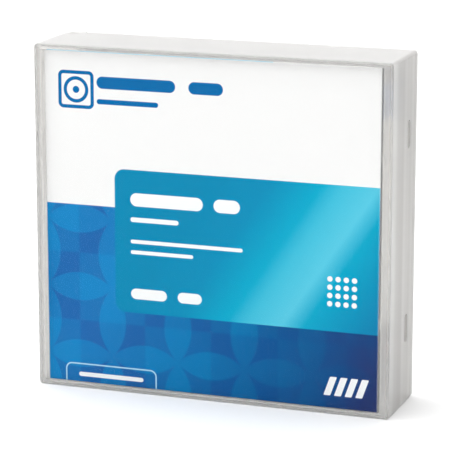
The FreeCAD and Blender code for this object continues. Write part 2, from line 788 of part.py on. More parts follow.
def make_lower_shell():
    """Hub-side shell: hub opening, screw holes, datum holes, reel guard rib."""
    body = new_body("lower_shell")
    shell_half(body, "lower", y_hub, level(floor_top))
    guard = reel_radius - cell("guard_inset")
    prism(body, "guard_rib", "XZ_Plane", level(floor_top + cell("guard_height")),
          level(floor_top) + JOIN,
          [(reel_x, reel_z, guard), (reel_x, reel_z, guard - cell("guard_width"))])
    add_slide_guides(body, floor_top, is_lower=True)
    for number, (x, z) in enumerate(screw_places(), start=1):
        prism(body, f"screw_hole_{number}", "XZ_Plane", level(part_line) - PAST, y_hub + PAST,
              [(x, z, cell("screw_shank") + cell("fit_gap"))], cut=True)
        prism(body, f"screw_sink_{number}", "XZ_Plane", level(cell("sink_depth")), y_hub + PAST,
              [(x, z, cell("screw_head") + cell("fit_gap"))], cut=True)
    prism(body, "hub_opening_cut", "XZ_Plane", level(floor_top) - PAST, y_hub + PAST,
          [(reel_x, reel_z, hub_opening)], cut=True)
    for sign, name in ((-1, "low"), (1, "high")):
        prism(body, f"datum_{name}", "XZ_Plane", level(cell("datum_depth")), y_hub + PAST,
              [(x_nose + cell("datum_inset"), middle + cell("datum_spread") * sign,
                cell("datum_radius"))], cut=True)
    cut_shared_openings(body, is_lower=True)
    return body


def make_upper_shell():
    """Cover-side shell: splined brake post, spring seat, finger grip."""
    body = new_body("upper_shell")
    shell_half(body, "upper", y_top, level(ceiling))
    # splined post that keeps the brake from turning
    post_end = brake_top + cell("brake_boss_height") - cell("post_reach")
    prism(body, "brake_post", "XZ_Plane", level(ceiling) - JOIN, level(post_end),
          [cross_outline(reel_x, reel_z, cell("post_arm"), cell("post_half"))])
    seat = cell("spring_radius") + cell("spring_wire") + cell("fit_gap")
    prism(body, "spring_seat", "XZ_Plane", level(ceiling) - JOIN,
          level(ceiling - cell("seat_height")),
          [(reel_x, reel_z, seat + cell("seat_wall")), (reel_x, reel_z, seat)])
    add_slide_guides(body, ceiling, is_lower=False)
    for number, (x, z) in enumerate(screw_places(), start=1):
        prism(body, f"pilot_{number}", "XZ_Plane", level(ceiling) + cell("screw_sunk"),
              level(part_line) + PAST,
              [(x, z, cell("screw_shank") + cell("running_gap"))], cut=True)
    # finger grip: shallow grooves across the cover near the label end
    groove_x = x_label - cell("groove_inset")
    half_length = cell("groove_length") / 2
    prism(body, "grip_groove", "XZ_Plane", y_top - PAST, y_top + cell("groove_depth"),
          [box_points(groove_x - cell("groove_width") - cell("groove_pitch") * i,
                      groove_x - cell("groove_pitch") * i,
                      middle - half_length, middle + half_length)
           for i in range(GROOVES)], cut=True)
    half_panel = cell("panel_height") / 2
    prism(body, "cover_panel", "XZ_Plane", y_top - PAST, y_top + cell("panel_depth"),
          [box_points(x_nose + cell("panel_nose_inset"), x_label - cell("panel_label_inset"),
                      middle - half_panel, middle + half_panel)], cut=True)
    cut_shared_openings(body, is_lower=False)
    return body


def cross_outline(x, z, arm, half):
    """A plus sign about (x, z)."""
    return [(x - half, z - arm), (x + half, z - arm), (x + half, z - half), (x + arm, z - half),
            (x + arm, z + half), (x + half, z + half), (x + half, z + arm), (x - half, z + arm),
            (x - half, z + half), (x - arm, z + half), (x - arm, z - half), (x - half, z - half)]


def make_shell_screws():
    """Four cheese-head screws from the hub face, kept as one group."""
    screws = []
    head_top = level(cell("screw_sunk"))
    head_low = level(cell("sink_depth")) + cell("sink_gap")
    for number, (x, z) in enumerate(screw_places(), start=1):
        body = new_body(f"screw_{number}")
        prism(body, f"head_{number}", "XZ_Plane", head_low, head_top,
              [(x, z, cell("screw_head"))])
        prism(body, f"shank_{number}", "XZ_Plane", head_top - cell("screw_length"),
              head_low + JOIN, [(x, z, cell("screw_shank"))])
        prism(body, f"drive_{number}", "XZ_Plane", head_top - cell("drive_depth"),
              head_top + PAST,
              [cross_outline(x, z, cell("drive_reach"), cell("drive_half"))], cut=True)
        screws.append(body)
    return new_group("shell_screws", screws)


def new_group(name, members):
    """Separate solids that are kept as one node."""
    group = doc.addObject("Part::Compound", name)
    group.Label = name
    group.Links = members
    return group


# --------------------------------------------------------------------- the reel
# The turning pieces are drawn about their own axis and placed on the reel's axis.
def on_reel_axis(body):
    body.setExpression(".Placement.Base.x", reel_x.text)
    body.setExpression(".Placement.Base.z", reel_z.text)


def tooth_ring(body, name, inner, outer, low, high, count, phase):
    """Straight-sided face teeth: one is drawn, then repeated round the axis."""
    pitch = 360.0 / float(count)
    half = pitch * float(cell("tooth_share")) / 2
    middle_angle = 90 + pitch * phase
    zero = Size.of(0)
    inner, outer = inner + cell("tooth_inset"), outer - cell("tooth_inset")
    corners = [turned(zero, zero, inner, middle_angle - half),
               turned(zero, zero, outer, middle_angle - half),
               turned(zero, zero, outer, middle_angle + half),
               turned(zero, zero, inner, middle_angle + half)]
    tooth = prism(body, name, "XZ_Plane", low, high, [corners])
    doc.recompute()
    return pattern_round(body, tooth, tooth.Profile[0], count)


def leg_places():
    """Angles and centres of the release plate's legs."""
    angles = [90 + 360 / LEGS * number for number in range(LEGS)]
    return [(angle, *turned(Size.of(0), Size.of(0), leg_circle, angle)) for angle in angles]


def make_reel_hub():
    """Hub with its lower flange, drive teeth below and brake teeth on its floor."""
    body = new_body("reel_hub")
    flange_low = level(reel_low)
    prism(body, "lower_flange", "XZ_Plane", level(flange_top), flange_low, [(0, 0, reel_radius)])
    prism(body, "barrel", "XZ_Plane", level(reel_top), level(flange_top) + JOIN,
          [(0, 0, cell("hub_radius"))])
    prism(body, "barrel_bore", "XZ_Plane", level(reel_top) - PAST, level(hub_floor_top),
          [(0, 0, hub_bore)], cut=True)
    prism(body, "clutch_ring", "XZ_Plane", flange_low - JOIN, level(ring_low),
          [(0, 0, clutch_outer), (0, 0, clutch_inner)])
    tooth_ring(body, "drive_tooth", clutch_inner, clutch_outer, level(ring_low) - JOIN,
               level(drive_tips), cell("clutch_teeth"), 0)
    tooth_ring(body, "brake_tooth", brake_inner, brake_outer, level(brake_ring_top),
               level(hub_floor_top) + JOIN, cell("brake_teeth"), 0)
    prism(body, "centre_hole", "XZ_Plane", level(brake_ring_top) - PAST, flange_low + PAST,
          [(0, 0, cell("centre_hole"))], cut=True)
    for number, (_, leg_x, leg_z) in enumerate(leg_places(), start=1):
        prism(body, f"leg_hole_{number}", "XZ_Plane", level(brake_ring_top) - PAST,
              level(drive_tips) + PAST, [(leg_x, leg_z, cell("leg_radius") + cell("fit_gap"))],
              cut=True)
    on_reel_axis(body)
    return body


def make_reel_flange():
    """Upper flange, welded on the hub, with a collar that centres it."""
    body = new_body("reel_flange")
    collar = hub_bore - cell("fit_gap")
    inner = collar - cell("collar_width")
    prism(body, "upper_flange", "XZ_Plane", level(reel_top + cell("flange_thick")),
          level(reel_top), [(0, 0, reel_radius), (0, 0, inner)])
    prism(body, "collar", "XZ_Plane", level(reel_top) - JOIN,
          level(reel_top - cell("collar_height")), [(0, 0, collar), (0, 0, inner)])
    on_reel_axis(body)
    return body


def make_clutch_plate():
    """Steel washer that the drive's magnet holds."""
    body = new_body("clutch_plate")
    top = reel_low - cell("plate_gap")
    prism(body, "washer", "XZ_Plane", level(top), level(top - cell("plate_thick")),
          [(0, 0, clutch_inner - cell("fit_gap")), (0, 0, cell("plate_inner"))])
    on_reel_axis(body)
    return body


def make_tape_pack():
    """All the turns of wound tape as one ring."""
    body = new_body("tape_pack")
    prism(body, "turns", "XZ_Plane", level(tape_high), level(tape_low),
          [(0, 0, pack_radius), (0, 0, cell("hub_radius") + cell("plate_gap"))])
    on_reel_axis(body)
    return body


def make_brake_plate():
    """Cup with teeth that mesh in the hub's floor, and a splined boss on top."""
    body = new_body("brake_plate")
    slack = cell("fit_gap")
    rim_low = brake_ring_top + slack
    prism(body, "web", "XZ_Plane", level(brake_top), level(brake_web), [(0, 0, brake_outer)])
    prism(body, "rim", "XZ_Plane", level(brake_web) - JOIN, level(rim_low),
          [(0, 0, brake_outer), (0, 0, brake_inner)])
    tooth_ring(body, "stop_tooth", brake_inner, brake_outer, level(rim_low) - JOIN,
               level(hub_floor_top + slack), cell("brake_teeth"), 0.5)
    boss_top = brake_top + cell("brake_boss_height")
    prism(body, "boss", "XZ_Plane", level(boss_top), level(brake_top) + JOIN,
          [(0, 0, cell("brake_boss"))])
    prism(body, "splines", "XZ_Plane", level(boss_top) - PAST,
          level(brake_top + cell("spline_floor")),
          [cross_outline(Size.of(0), Size.of(0), cell("post_arm") + slack,
                         cell("post_half") + slack)], cut=True)
    on_reel_axis(body)
    return body


def make_release_plate():
    """Three-armed plate: the drive's teeth push its legs and it lifts the brake."""
    body = new_body("release_plate")
    low, high = level(spider_top), level(spider_low)
    prism(body, "disc", "XZ_Plane", low, high, [(0, 0, cell("spider_radius"))])
    for number, (angle, leg_x, leg_z) in enumerate(leg_places(), start=1):
        side_x, side_z = turned(Size.of(0), Size.of(0), cell("leg_radius"), angle + 90)
        prism(body, f"arm_{number}", "XZ_Plane", low, high,
              [[(side_x, side_z), (-side_x, -side_z), (leg_x - side_x, leg_z - side_z),
                (leg_x + side_x, leg_z + side_z)]])
        prism(body, f"leg_{number}", "XZ_Plane", low, level(drive_tips),
              [(leg_x, leg_z, cell("leg_radius"))])
    on_reel_axis(body)
    return body


WIRE_SIDES = 6


def make_spring(name, radius, wire, turns, length):
    """A helical wire along local Z, with its first coil at the origin."""
    path = doc.addObject("Part::Helix", f"{name}_path")
    path.setExpression("Radius", radius.text)
    path.setExpression("Height", length.text)
    path.setExpression("Pitch", (length / turns).text)
    ring = doc.addObject("Part::RegularPolygon", f"{name}_wire")
    ring.Polygon = WIRE_SIDES
    ring.setExpression("Circumradius", wire.text)
    ring.Placement.Rotation = FreeCAD.Rotation(FreeCAD.Vector(1, 0, 0), 90)
    ring.setExpression(".Placement.Base.x", radius.text)
    coil = doc.addObject("Part::Sweep", name)
    coil.Label = name
    coil.Sections = [ring]
    coil.Spine = (path, ["Edge1"])
    coil.Solid = True
    coil.Frenet = True
    return coil


def make_brake_spring():
    """Compression coil between the cover and the brake."""
    wire = cell("spring_wire")
    low = brake_top + wire + cell("clip_gap")
    high = ceiling - wire - cell("clip_gap")
    coil = make_spring("brake_spring", cell("spring_radius"), wire, cell("spring_turns"),
                       high - low)
    coil.Placement.Rotation = FreeCAD.Rotation(FreeCAD.Vector(1, 0, 0), 90)
    coil.setExpression(".Placement.Base.x", reel_x.text)
    coil.setExpression(".Placement.Base.y", level(low).text)
    coil.setExpression(".Placement.Base.z", reel_z.text)
    return coil


# ------------------------------------------------------------- leader and door
def make_leader_pin():
    """Steel pin across the nose corner, with a head at each end."""
    body = new_body("leader_pin")
    low = floor_top + cell("pin_end_gap")
    high = ceiling - cell("pin_end_gap")
    head = cell("pin_head_thick")
    prism(body, "shaft", "XZ_Plane", level(high), level(low), [(pin_x, pin_z, cell("pin_radius"))])
    for name, place in (("hub_side", low), ("cover_side", high - head)):
        prism(body, f"head_{name}", "XZ_Plane", level(place + head), level(place),
              [(pin_x, pin_z, cell("pin_head"))])
    return body


def make_pin_clip():
    """C-shaped clip that holds the tape's end on the pin, open towards the nose."""
    body = new_body("pin_clip")
    inner = cell("pin_radius") + cell("clip_gap")
    outer = inner + cell("clip_thick")
    half_mouth = cell("clip_mouth") / 2
    prism(body, "clip", "XZ_Plane", level(tape_high), level(tape_low),
          [(pin_x, pin_z, outer), (pin_x, pin_z, inner)])
    prism(body, "clip_mouth", "XZ_Plane", level(tape_high) - PAST, level(tape_low) + PAST,
          [box_points(pin_x - outer - PAST, pin_x, pin_z - half_mouth, pin_z + half_mouth)],
          cut=True)
    return body


def make_leader_tape():
    """Straight run of tape from the pack, which it leaves as a tangent, to the pin's clip."""
    across = float(pin_x - reel_x)
    up = float(pin_z - reel_z)
    radius = float(pack_radius + cell("leader_lift"))
    touch = math.atan2(up, across) - math.acos(radius / math.hypot(across, up))
    start = FreeCAD.Vector(float(reel_x) + radius * math.cos(touch), float(level(tape_high)),
                           float(reel_z) + radius * math.sin(touch))
    run = FreeCAD.Vector(float(pin_x), start.y, float(pin_z)) - start
    clip = cell("pin_radius") + cell("clip_gap") + cell("clip_thick") + cell("leader_lift") / 3
    tape = doc.addObject("Part::Box", "leader_tape")
    tape.Label = "leader_tape"
    tape.setExpression("Length", (Size.of(run.Length) - clip).text)
    tape.setExpression("Width", cell("tape_width").text)
    tape.setExpression("Height", cell("leader_thick").text)
    along = run.normalize()
    tape.Placement = FreeCAD.Placement(
        start, FreeCAD.Rotation(along, FreeCAD.Vector(0, 1, 0),
                                FreeCAD.Vector(-along.z, 0, along.x), "XZY"))
    return tape


def make_pin_springs():
    """Two bent leaf springs that press the pin's heads into the corner."""
    thick = cell("leaf_thick")
    inner_z = pin_z - cell("pin_head") - cell("leaf_gap")
    outer_z = inner_z - thick
    tip_z = inner_z + cell("leaf_tip")
    half = cell("pin_head") + cell("leaf_side")
    lower = floor_top + cell("pin_end_gap") + cell("leaf_inset")
    upper = ceiling - cell("pin_end_gap") - cell("pin_head_thick")
    leaves = []
    for number, low in ((1, lower), (2, upper)):
        leaf = new_body(f"leaf_{number}")
        prism(leaf, f"leaf_strip_{number}", "XZ_Plane", level(low + cell("leaf_width")),
              level(low),
              [[(pin_x - half - thick, tip_z), (pin_x - half - thick, outer_z),
                (pin_x + half + thick, outer_z), (pin_x + half + thick, tip_z),
                (pin_x + half, tip_z), (pin_x + half, inner_z),
                (pin_x - half, inner_z), (pin_x - half, tip_z)]])
        leaves.append(leaf)
    return new_group("pin_springs", leaves)


def make_door():
    """Sliding door inside the side wall, with a lip that the drive pushes."""
    body = new_body("door")
    gap, inset = cell("fit_gap"), cell("door_lip_inset")
    prism(body, "door_panel", "XY_Plane", door_inner, door_outer,
          [box_points(door_start, door_end, level(ceiling - gap), level(floor_top + gap))])
    lip_x = window_x + inset
    prism(body, "door_lip", "XY_Plane", door_outer - JOIN, z_high - gap,
          [box_points(lip_x, lip_x + cell("door_lip"),
                      level(window_high - inset), level(window_low + inset))])
    return body


def make_door_spring():
    """Thin compression coil between the door and the stop on the shells."""
    wire = cell("door_spring_wire")
    start = door_end + wire + cell("clip_gap")
    finish = door_spring_end - wire - cell("clip_gap")
    coil = make_spring("door_spring", cell("door_spring_radius"), wire,
                       cell("door_spring_turns"), finish - start)
    coil.Placement.Rotation = FreeCAD.Rotation(FreeCAD.Vector(0, 1, 0), 90)
    coil.setExpression(".Placement.Base.x", start.text)
    coil.setExpression(".Placement.Base.y", level(part_line).text)
    coil.setExpression(".Placement.Base.z", (door_inner + cell("clip_gap")).text)
    return coil


def make_write_protect_tab():
    """Slider behind the label end's window, with a nub for a fingernail."""
    body = new_body("write_protect_tab")
    gap, inset = cell("fit_gap"), cell("nub_inset")
    half = cell("tab_window_width") / 2
    side = half + cell("tab_cover")
    prism(body, "tab_plate", "YZ_Plane", tab_x - cell("tab_thick"), tab_x,
          [box_points(level(part_line + side), level(part_line - side),
                      tab_foot - cell("tab_travel") - cell("tab_end"),
                      tab_foot + cell("tab_window") + cell("tab_end"))])
    nub_high = tab_foot + cell("tab_window") - cell("tab_travel") - gap
    prism(body, "tab_nub", "YZ_Plane", tab_x - JOIN, x_label - inset,
          [box_points(level(part_line + half - inset), level(part_line - half + inset),
                      tab_foot + gap, nub_high)])
    return body


def make_memory_chip():
    """Contactless memory on a small board, tilted half a right angle in the corner."""
    body = new_body("memory_chip")
    side, thick = cell("chip_side"), cell("chip_thick")
    chip_low = (side - cell("chip_body")) / 2
    prism(body, "board", "XZ_Plane", 0, thick, [box_points(0, side, 0, side)])
    prism(body, "chip", "XZ_Plane", thick - JOIN, thick + cell("chip_bump"),
          [box_points(chip_low, chip_low + cell("chip_body"),
                      chip_low, chip_low + cell("chip_body"))])
    body.Placement.Rotation = FreeCAD.Rotation(FreeCAD.Vector(0, 0, 1), 45)
    lean = side * math.sqrt(0.5) + thick + cell("chip_gap")
    body.setExpression(".Placement.Base.x", (x_label - cell("shell_wall") - lean).text)
    body.setExpression(".Placement.Base.y", (level(floor_top) - lean).text)
    body.setExpression(".Placement.Base.z", (z_high - cell("chip_inset")).text)
    return body


# -------------------------------------------------------------- build and write
MAKERS = [
    make_case_base, make_case_lid, make_insert_card, make_upper_shell, make_lower_shell,
    make_shell_screws, make_door, make_door_spring, make_write_protect_tab,
    make_memory_chip, make_reel_hub, make_reel_flange, make_clutch_plate, make_tape_pack,
    make_leader_tape, make_leader_pin, make_pin_clip, make_pin_springs, make_brake_plate,
    make_brake_spring, make_release_plate,
]


def check_document():
    """Stop on a failed object or a feature that changed nothing."""
    for obj in doc.Objects:
        if {"Invalid", "Error"} & set(obj.State):
            raise RuntimeError(f"{obj.Name} failed: {obj.State}")
        if obj.isDerivedFrom("PartDesign::Feature") and obj.TypeId != "PartDesign::Body":
            base = getattr(obj, "BaseFeature", None)
            if base and abs(base.Shape.Volume - obj.Shape.Volume) < 1e-9:
                raise RuntimeError(f"{obj.Name} changed nothing")


def main():
    nodes = []
    for make in MAKERS:
        nodes.append(make())
        doc.recompute()
    check_document()
    os.makedirs("parts", exist_ok=True)
    for node in nodes:
        shape = node.Shape
        if shape.isNull() or not shape.isValid():
            raise RuntimeError(f"{node.Label} has a bad shape")
        shape.exportStep(f"parts/{node.Label}.step")
        box = shape.BoundBox
        print(f"{node.Label:18s} solids {len(shape.Solids)} volume {shape.Volume:9.1f} "
              f"x {box.XMin:7.2f} {box.XMax:7.2f} y {box.YMin:7.2f} {box.YMax:7.2f} "
              f"z {box.ZMin:7.2f} {box.ZMax:7.2f}")


main()
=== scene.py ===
# %% [markdown]
# A half-inch data tape cartridge in its frosted storage case. The imported CAD model is loaded
# first as a fixed frame: it already holds every rigid piece at its real size and place, so
# this file gives those pieces their finishes, adds the paper and print that CAD leaves out,
# and sets up a small studio.

# %% Load the frame
import math

import bpy
import numpy as np
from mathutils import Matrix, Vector


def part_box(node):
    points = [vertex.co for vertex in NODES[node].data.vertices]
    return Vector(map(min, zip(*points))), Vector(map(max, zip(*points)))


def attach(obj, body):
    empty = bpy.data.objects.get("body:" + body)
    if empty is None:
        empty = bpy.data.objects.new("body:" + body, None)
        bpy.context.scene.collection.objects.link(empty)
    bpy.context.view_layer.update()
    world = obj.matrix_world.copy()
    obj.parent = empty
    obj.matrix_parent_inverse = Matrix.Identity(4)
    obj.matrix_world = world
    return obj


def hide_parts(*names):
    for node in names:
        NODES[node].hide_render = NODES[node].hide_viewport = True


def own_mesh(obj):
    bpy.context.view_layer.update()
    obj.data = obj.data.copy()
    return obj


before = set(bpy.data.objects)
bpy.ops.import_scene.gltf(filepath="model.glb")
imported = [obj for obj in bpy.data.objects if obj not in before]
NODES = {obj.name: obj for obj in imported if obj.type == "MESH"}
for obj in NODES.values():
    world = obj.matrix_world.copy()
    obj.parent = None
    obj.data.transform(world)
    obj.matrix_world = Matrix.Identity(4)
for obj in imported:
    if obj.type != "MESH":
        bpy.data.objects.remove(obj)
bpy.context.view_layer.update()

MM = 0.001


# %% [markdown]
# The camera is a long lens well back from the object, a little to its right and above, the
# usual angle for showing a boxed product: the front stays almost square, and one side and the
# top show. Its place is worked out from two angles and a distance, because those are what one
# would change by hand.

# %% Camera
AIM = Vector((0.7, -0.2, 53.4)) * MM
AZIMUTH = math.radians(19.62)
ELEVATION = math.radians(13.14)
DISTANCE = 750.6 * MM
LENS = 191.3
SENSOR = 36.0
NEAREST = 0.01

towards_camera = Vector((math.sin(AZIMUTH) * math.cos(ELEVATION),
                         -math.cos(AZIMUTH) * math.cos(ELEVATION),
                         math.sin(ELEVATION)))
camera = bpy.data.objects.new("camera", bpy.data.cameras.new("camera"))
camera.data.lens = LENS
camera.data.sensor_width = SENSOR
camera.data.clip_start = NEAREST
camera.location = AIM + towards_camera * DISTANCE
camera.rotation_euler = (-towards_camera).to_track_quat("-Z", "Y").to_euler()
bpy.context.collection.objects.link(camera)
bpy.context.scene.camera = camera
print("camera at mm:", [round(v / MM, 1) for v in camera.location])

# %% [markdown]
# A material is a small network of nodes. Writing `nodes.new` and `links.new` for each one
# hides the idea under bookkeeping, so a short helper keeps the network, makes one node per
# call and joins whatever it is given: a number sets a socket, an output is linked to it.

# %% Node helper
class Network:
    """Builds nodes in a material's or a group's tree, one call for each node."""

    def __init__(self, tree):
        self.tree = tree

    def node(self, kind, inputs=(), **settings):
        """A node of that kind; inputs are (name or number, value or output) pairs."""
        made = self.tree.nodes.new(kind)
        for name, value in settings.items():
            setattr(made, name, value)
        for socket, value in inputs:
            self.join(value, made.inputs[socket])
        return made

    def join(self, value, socket):
        """Links an output to a socket, or sets the socket to a plain value."""
        if isinstance(value, bpy.types.NodeSocket):
            self.tree.links.new(value, socket)
        else:
            socket.default_value = value

    def maths(self, operation, *values, clamp=False):
        """The result of one Math node."""
        made = self.node("ShaderNodeMath", enumerate(values), operation=operation, use_clamp=clamp)
        return made.outputs[0]

    def blend(self, share, first, second, mode="MIX"):
        """A colour between two colours."""
        made = self.node("ShaderNodeMix", ((0, share), (6, first), (7, second)),
                         data_type="RGBA", blend_type=mode)
        return made.outputs[2]

    def ramp(self, value, low, high, first=0.0, second=1.0):
        """first below low, second above high, and a straight line between."""
        made = self.node("ShaderNodeMapRange",
                         ((0, value), (1, low), (2, high), (3, first), (4, second)), clamp=True)
        return made.outputs[0]

    def between(self, share, first, second):
        """A number between two numbers: first at a share of 0, second at a share of 1."""
        return self.ramp(share, 0.0, 1.0, first, second)

    def noise(self, places, scale, detail=2.0, roughness=0.5):
        """Cloudy noise from 0 to 1."""
        made = self.node("ShaderNodeTexNoise",
                         (("Vector", places), ("Scale", scale), ("Detail", detail),
                          ("Roughness", roughness)))
        return made.outputs["Fac"]

    def bump(self, height, strength, distance):
        """A normal bent by a height from 0 to 1 that stands for a distance in metres."""
        made = self.node("ShaderNodeBump", (("Strength", strength), ("Distance", distance),
                                            ("Height", height)))
        return made.outputs[0]

    def places(self):
        """Object coordinates, in metres, the same as the frame's."""
        return self.node("ShaderNodeTexCoord").outputs["Object"]

    def in_mm(self, places):
        """The same places in millimetres."""
        made = self.node("ShaderNodeVectorMath", ((0, places), (3, 1.0 / MM)), operation="SCALE")
        return made.outputs[0]

    def axes(self, places):
        """The X, Y and Z outputs of a place."""
        return self.node("ShaderNodeSeparateXYZ", ((0, places),)).outputs[:3]


def new_group(name, inputs, outputs):
    """An empty shader node group with its sockets, and the network to fill it."""
    tree = bpy.data.node_groups.new(name, "ShaderNodeTree")
    for label, kind, value in inputs:
        socket = tree.interface.new_socket(label, in_out="INPUT", socket_type=kind)
        if value is not None:
            socket.default_value = value
    for label, kind in outputs:
        tree.interface.new_socket(label, in_out="OUTPUT", socket_type=kind)
    network = Network(tree)
    entry = network.node("NodeGroupInput")
    leaving = network.node("NodeGroupOutput")
    return network, entry.outputs, leaving.inputs


def use_group(network, name, inputs):
    """Places a group in a network and gives its outputs."""
    made = network.node("ShaderNodeGroup", inputs, node_tree=bpy.data.node_groups[name])
    return made.outputs


def new_material(name):
    """A material with one Principled shader; gives the material, its network and shader."""
    material = bpy.data.materials.new(name)
    material.use_nodes = True
    shader = material.node_tree.nodes["Principled BSDF"]
    return material, Network(material.node_tree), shader


def finish_socket(network, shader, **values):
    """Sets or links the shader's sockets; underscores stand for spaces."""
    for name, value in values.items():
        network.join(value, shader.inputs[name.replace("_", " ")])


print("node helper ready")

# %% [markdown]
# Moulded plastic is never a perfectly smooth, even surface: the mould is spark-eroded or
# blasted, so it carries a fine even grain, and the melt leaves faint cloudy differences in
# gloss. Both are the same effect on every plastic piece here, only larger or smaller, so
# they are one node group with a grain size, a depth and a gloss range as its inputs.

# %% Shared group: moulded skin
CLOUD_SCALE = 55.0
GRAIN_RELIEF = 0.00003


def build_moulded_skin():
    """Roughness, normal and cloud of a moulded skin; the grain size is in metres."""
    network, given, out = new_group(
        "Moulded skin",
        [("Grain Size", "NodeSocketFloat", 0.0004), ("Depth", "NodeSocketFloat", 0.4),
         ("Roughness Low", "NodeSocketFloat", 0.35), ("Roughness High", "NodeSocketFloat", 0.5)],
        [("Roughness", "NodeSocketFloat"), ("Normal", "NodeSocketVector"),
         ("Cloud", "NodeSocketFloat")])
    places = network.places()
    scale = network.maths("DIVIDE", 1.0, given["Grain Size"])
    grain = network.noise(places, scale, detail=1.0)
    cloud = network.noise(places, CLOUD_SCALE, detail=3.0)
    span = network.maths("SUBTRACT", given["Roughness High"], given["Roughness Low"])
    rough = network.maths("MULTIPLY_ADD", cloud, span, given["Roughness Low"])
    network.join(rough, out["Roughness"])
    network.join(network.bump(grain, given["Depth"], GRAIN_RELIEF), out["Normal"])
    network.join(cloud, out["Cloud"])


build_moulded_skin()
print("group:", "Moulded skin")

# %% [markdown]
# Print is made of flat shapes with sharp edges. A shape with an exact edge is best drawn by
# its distance: a formula that says how far a point lies outside the shape, negative inside.
# Cutting that distance over a few hundredths of a millimetre gives a crisp, smooth edge at
# any zoom. One group draws a rounded rectangle, and since a dot is a rounded rectangle whose
# radius equals its half size, the same group draws bars, boxes, dots and rings.

# %% Shared group: rounded patch
EDGE_SOFTNESS = 0.05


def build_rounded_patch():
    """Distance to a rounded rectangle in X and Z, in millimetres.

    With q = |p - centre| - half + radius, the distance is the length of q's positive part,
    plus the larger of q's values where both are negative, less the radius.
    """
    network, given, out = new_group(
        "Rounded patch",
        [("Place", "NodeSocketVector", None), ("Centre X", "NodeSocketFloat", 0.0),
         ("Centre Z", "NodeSocketFloat", 0.0), ("Half X", "NodeSocketFloat", 1.0),
         ("Half Z", "NodeSocketFloat", 1.0), ("Radius", "NodeSocketFloat", 0.5)],
        [("Distance", "NodeSocketFloat"), ("Mask", "NodeSocketFloat")])
    x, _, z = network.axes(given["Place"])
    beyond = []
    for value, centre, half in ((x, "Centre X", "Half X"), (z, "Centre Z", "Half Z")):
        away = network.maths("ABSOLUTE", network.maths("SUBTRACT", value, given[centre]))
        inner = network.maths("SUBTRACT", given[half], given["Radius"])
        beyond.append(network.maths("SUBTRACT", away, inner))
    positive = [network.maths("MAXIMUM", value, 0.0) for value in beyond]
    squares = [network.maths("MULTIPLY", value, value) for value in positive]
    corner = network.maths("SQRT", network.maths("ADD", *squares))
    inside = network.maths("MINIMUM", network.maths("MAXIMUM", *beyond), 0.0)
    distance = network.maths("SUBTRACT", network.maths("ADD", corner, inside), given["Radius"])
    mask = network.ramp(distance, -EDGE_SOFTNESS, EDGE_SOFTNESS, 1.0, 0.0)
    network.join(distance, out["Distance"])
    network.join(mask, out["Mask"])


def patch(network, places, x, z, half_x, half_z, radius):
    """One rounded patch in a material, sizes in millimetres; gives Distance and Mask."""
    return use_group(network, "Rounded patch",
                     (("Place", places), ("Centre X", x), ("Centre Z", z), ("Half X", half_x),
                      ("Half Z", half_z), ("Radius", radius)))


build_rounded_patch()
print("group:", "Rounded patch")

# %% [markdown]
# The blue field of the card carries a quiet tone-on-tone pattern. Equal circles on a square
# grid, each passing through the middles of the cells round it, overlap in pointed petals:
# a very old, common ornament. Laid over a chequer of the same pitch it gives three or four
# steps of the same blue. Everything is worked out from the place inside one cell, so it costs
# the same however large the field is.

# %% Shared group: petal tiles
CIRCLE_REACH = math.sqrt(0.5)


def build_petal_tiles():
    """Petals and chequer on a grid: a point is in a petal where two circles cover it."""
    network, given, out = new_group(
        "Petal tiles",
        [("Place", "NodeSocketVector", None), ("Pitch", "NodeSocketFloat", 20.0)],
        [("Petals", "NodeSocketFloat"), ("Chequer", "NodeSocketFloat")])
    x, _, z = network.axes(given["Place"])
    cells = [network.maths("DIVIDE", value, given["Pitch"]) for value in (x, z)]
    across, up = (network.maths("FRACT", value) for value in cells)
    soft = network.maths("DIVIDE", EDGE_SOFTNESS, given["Pitch"])
    near = network.maths("SUBTRACT", CIRCLE_REACH, soft)
    far = network.maths("ADD", CIRCLE_REACH, soft)
    covers = []
    for corner_x in (0.0, 1.0):
        for corner_z in (0.0, 1.0):
            side = network.maths("SUBTRACT", across, corner_x)
            rise = network.maths("SUBTRACT", up, corner_z)
            square = network.maths("ADD", network.maths("MULTIPLY", side, side),
                                   network.maths("MULTIPLY", rise, rise))
            covers.append(network.ramp(network.maths("SQRT", square), near, far, 1.0, 0.0))
    covered = network.maths("ADD", network.maths("ADD", *covers[:2]),
                            network.maths("ADD", *covers[2:]))
    petals = network.maths("SUBTRACT", covered, 1.0, clamp=True)
    rows = [network.maths("FLOOR", value) for value in cells]
    chequer = network.maths("PINGPONG", network.maths("ADD", *rows), 1.0)
    network.join(petals, out["Petals"])
    network.join(chequer, out["Chequer"])


build_petal_tiles()
print("group:", "Petal tiles")

# %% [markdown]
# Polypropylene flows into its mould from one gate, and freezes in streaks. In a translucent
# wall they show as soft stripes, a little milkier or clearer, that run the way the melt ran:
# up the side walls and along the top. Noise squeezed across the wall and stretched along it
# does this. The same numbers serve every wall, because a wall only shows the two directions
# that lie in it.

# %% Shared group: flow streaks
FINE_STRETCH, FINE_SHARE = (3.0, 240.0, 2.5), 0.55
BROAD_STRETCH, BROAD_SHARE = (6.0, 90.0, 5.0), 0.45
STREAK_RANGE = (0.25, 0.75)


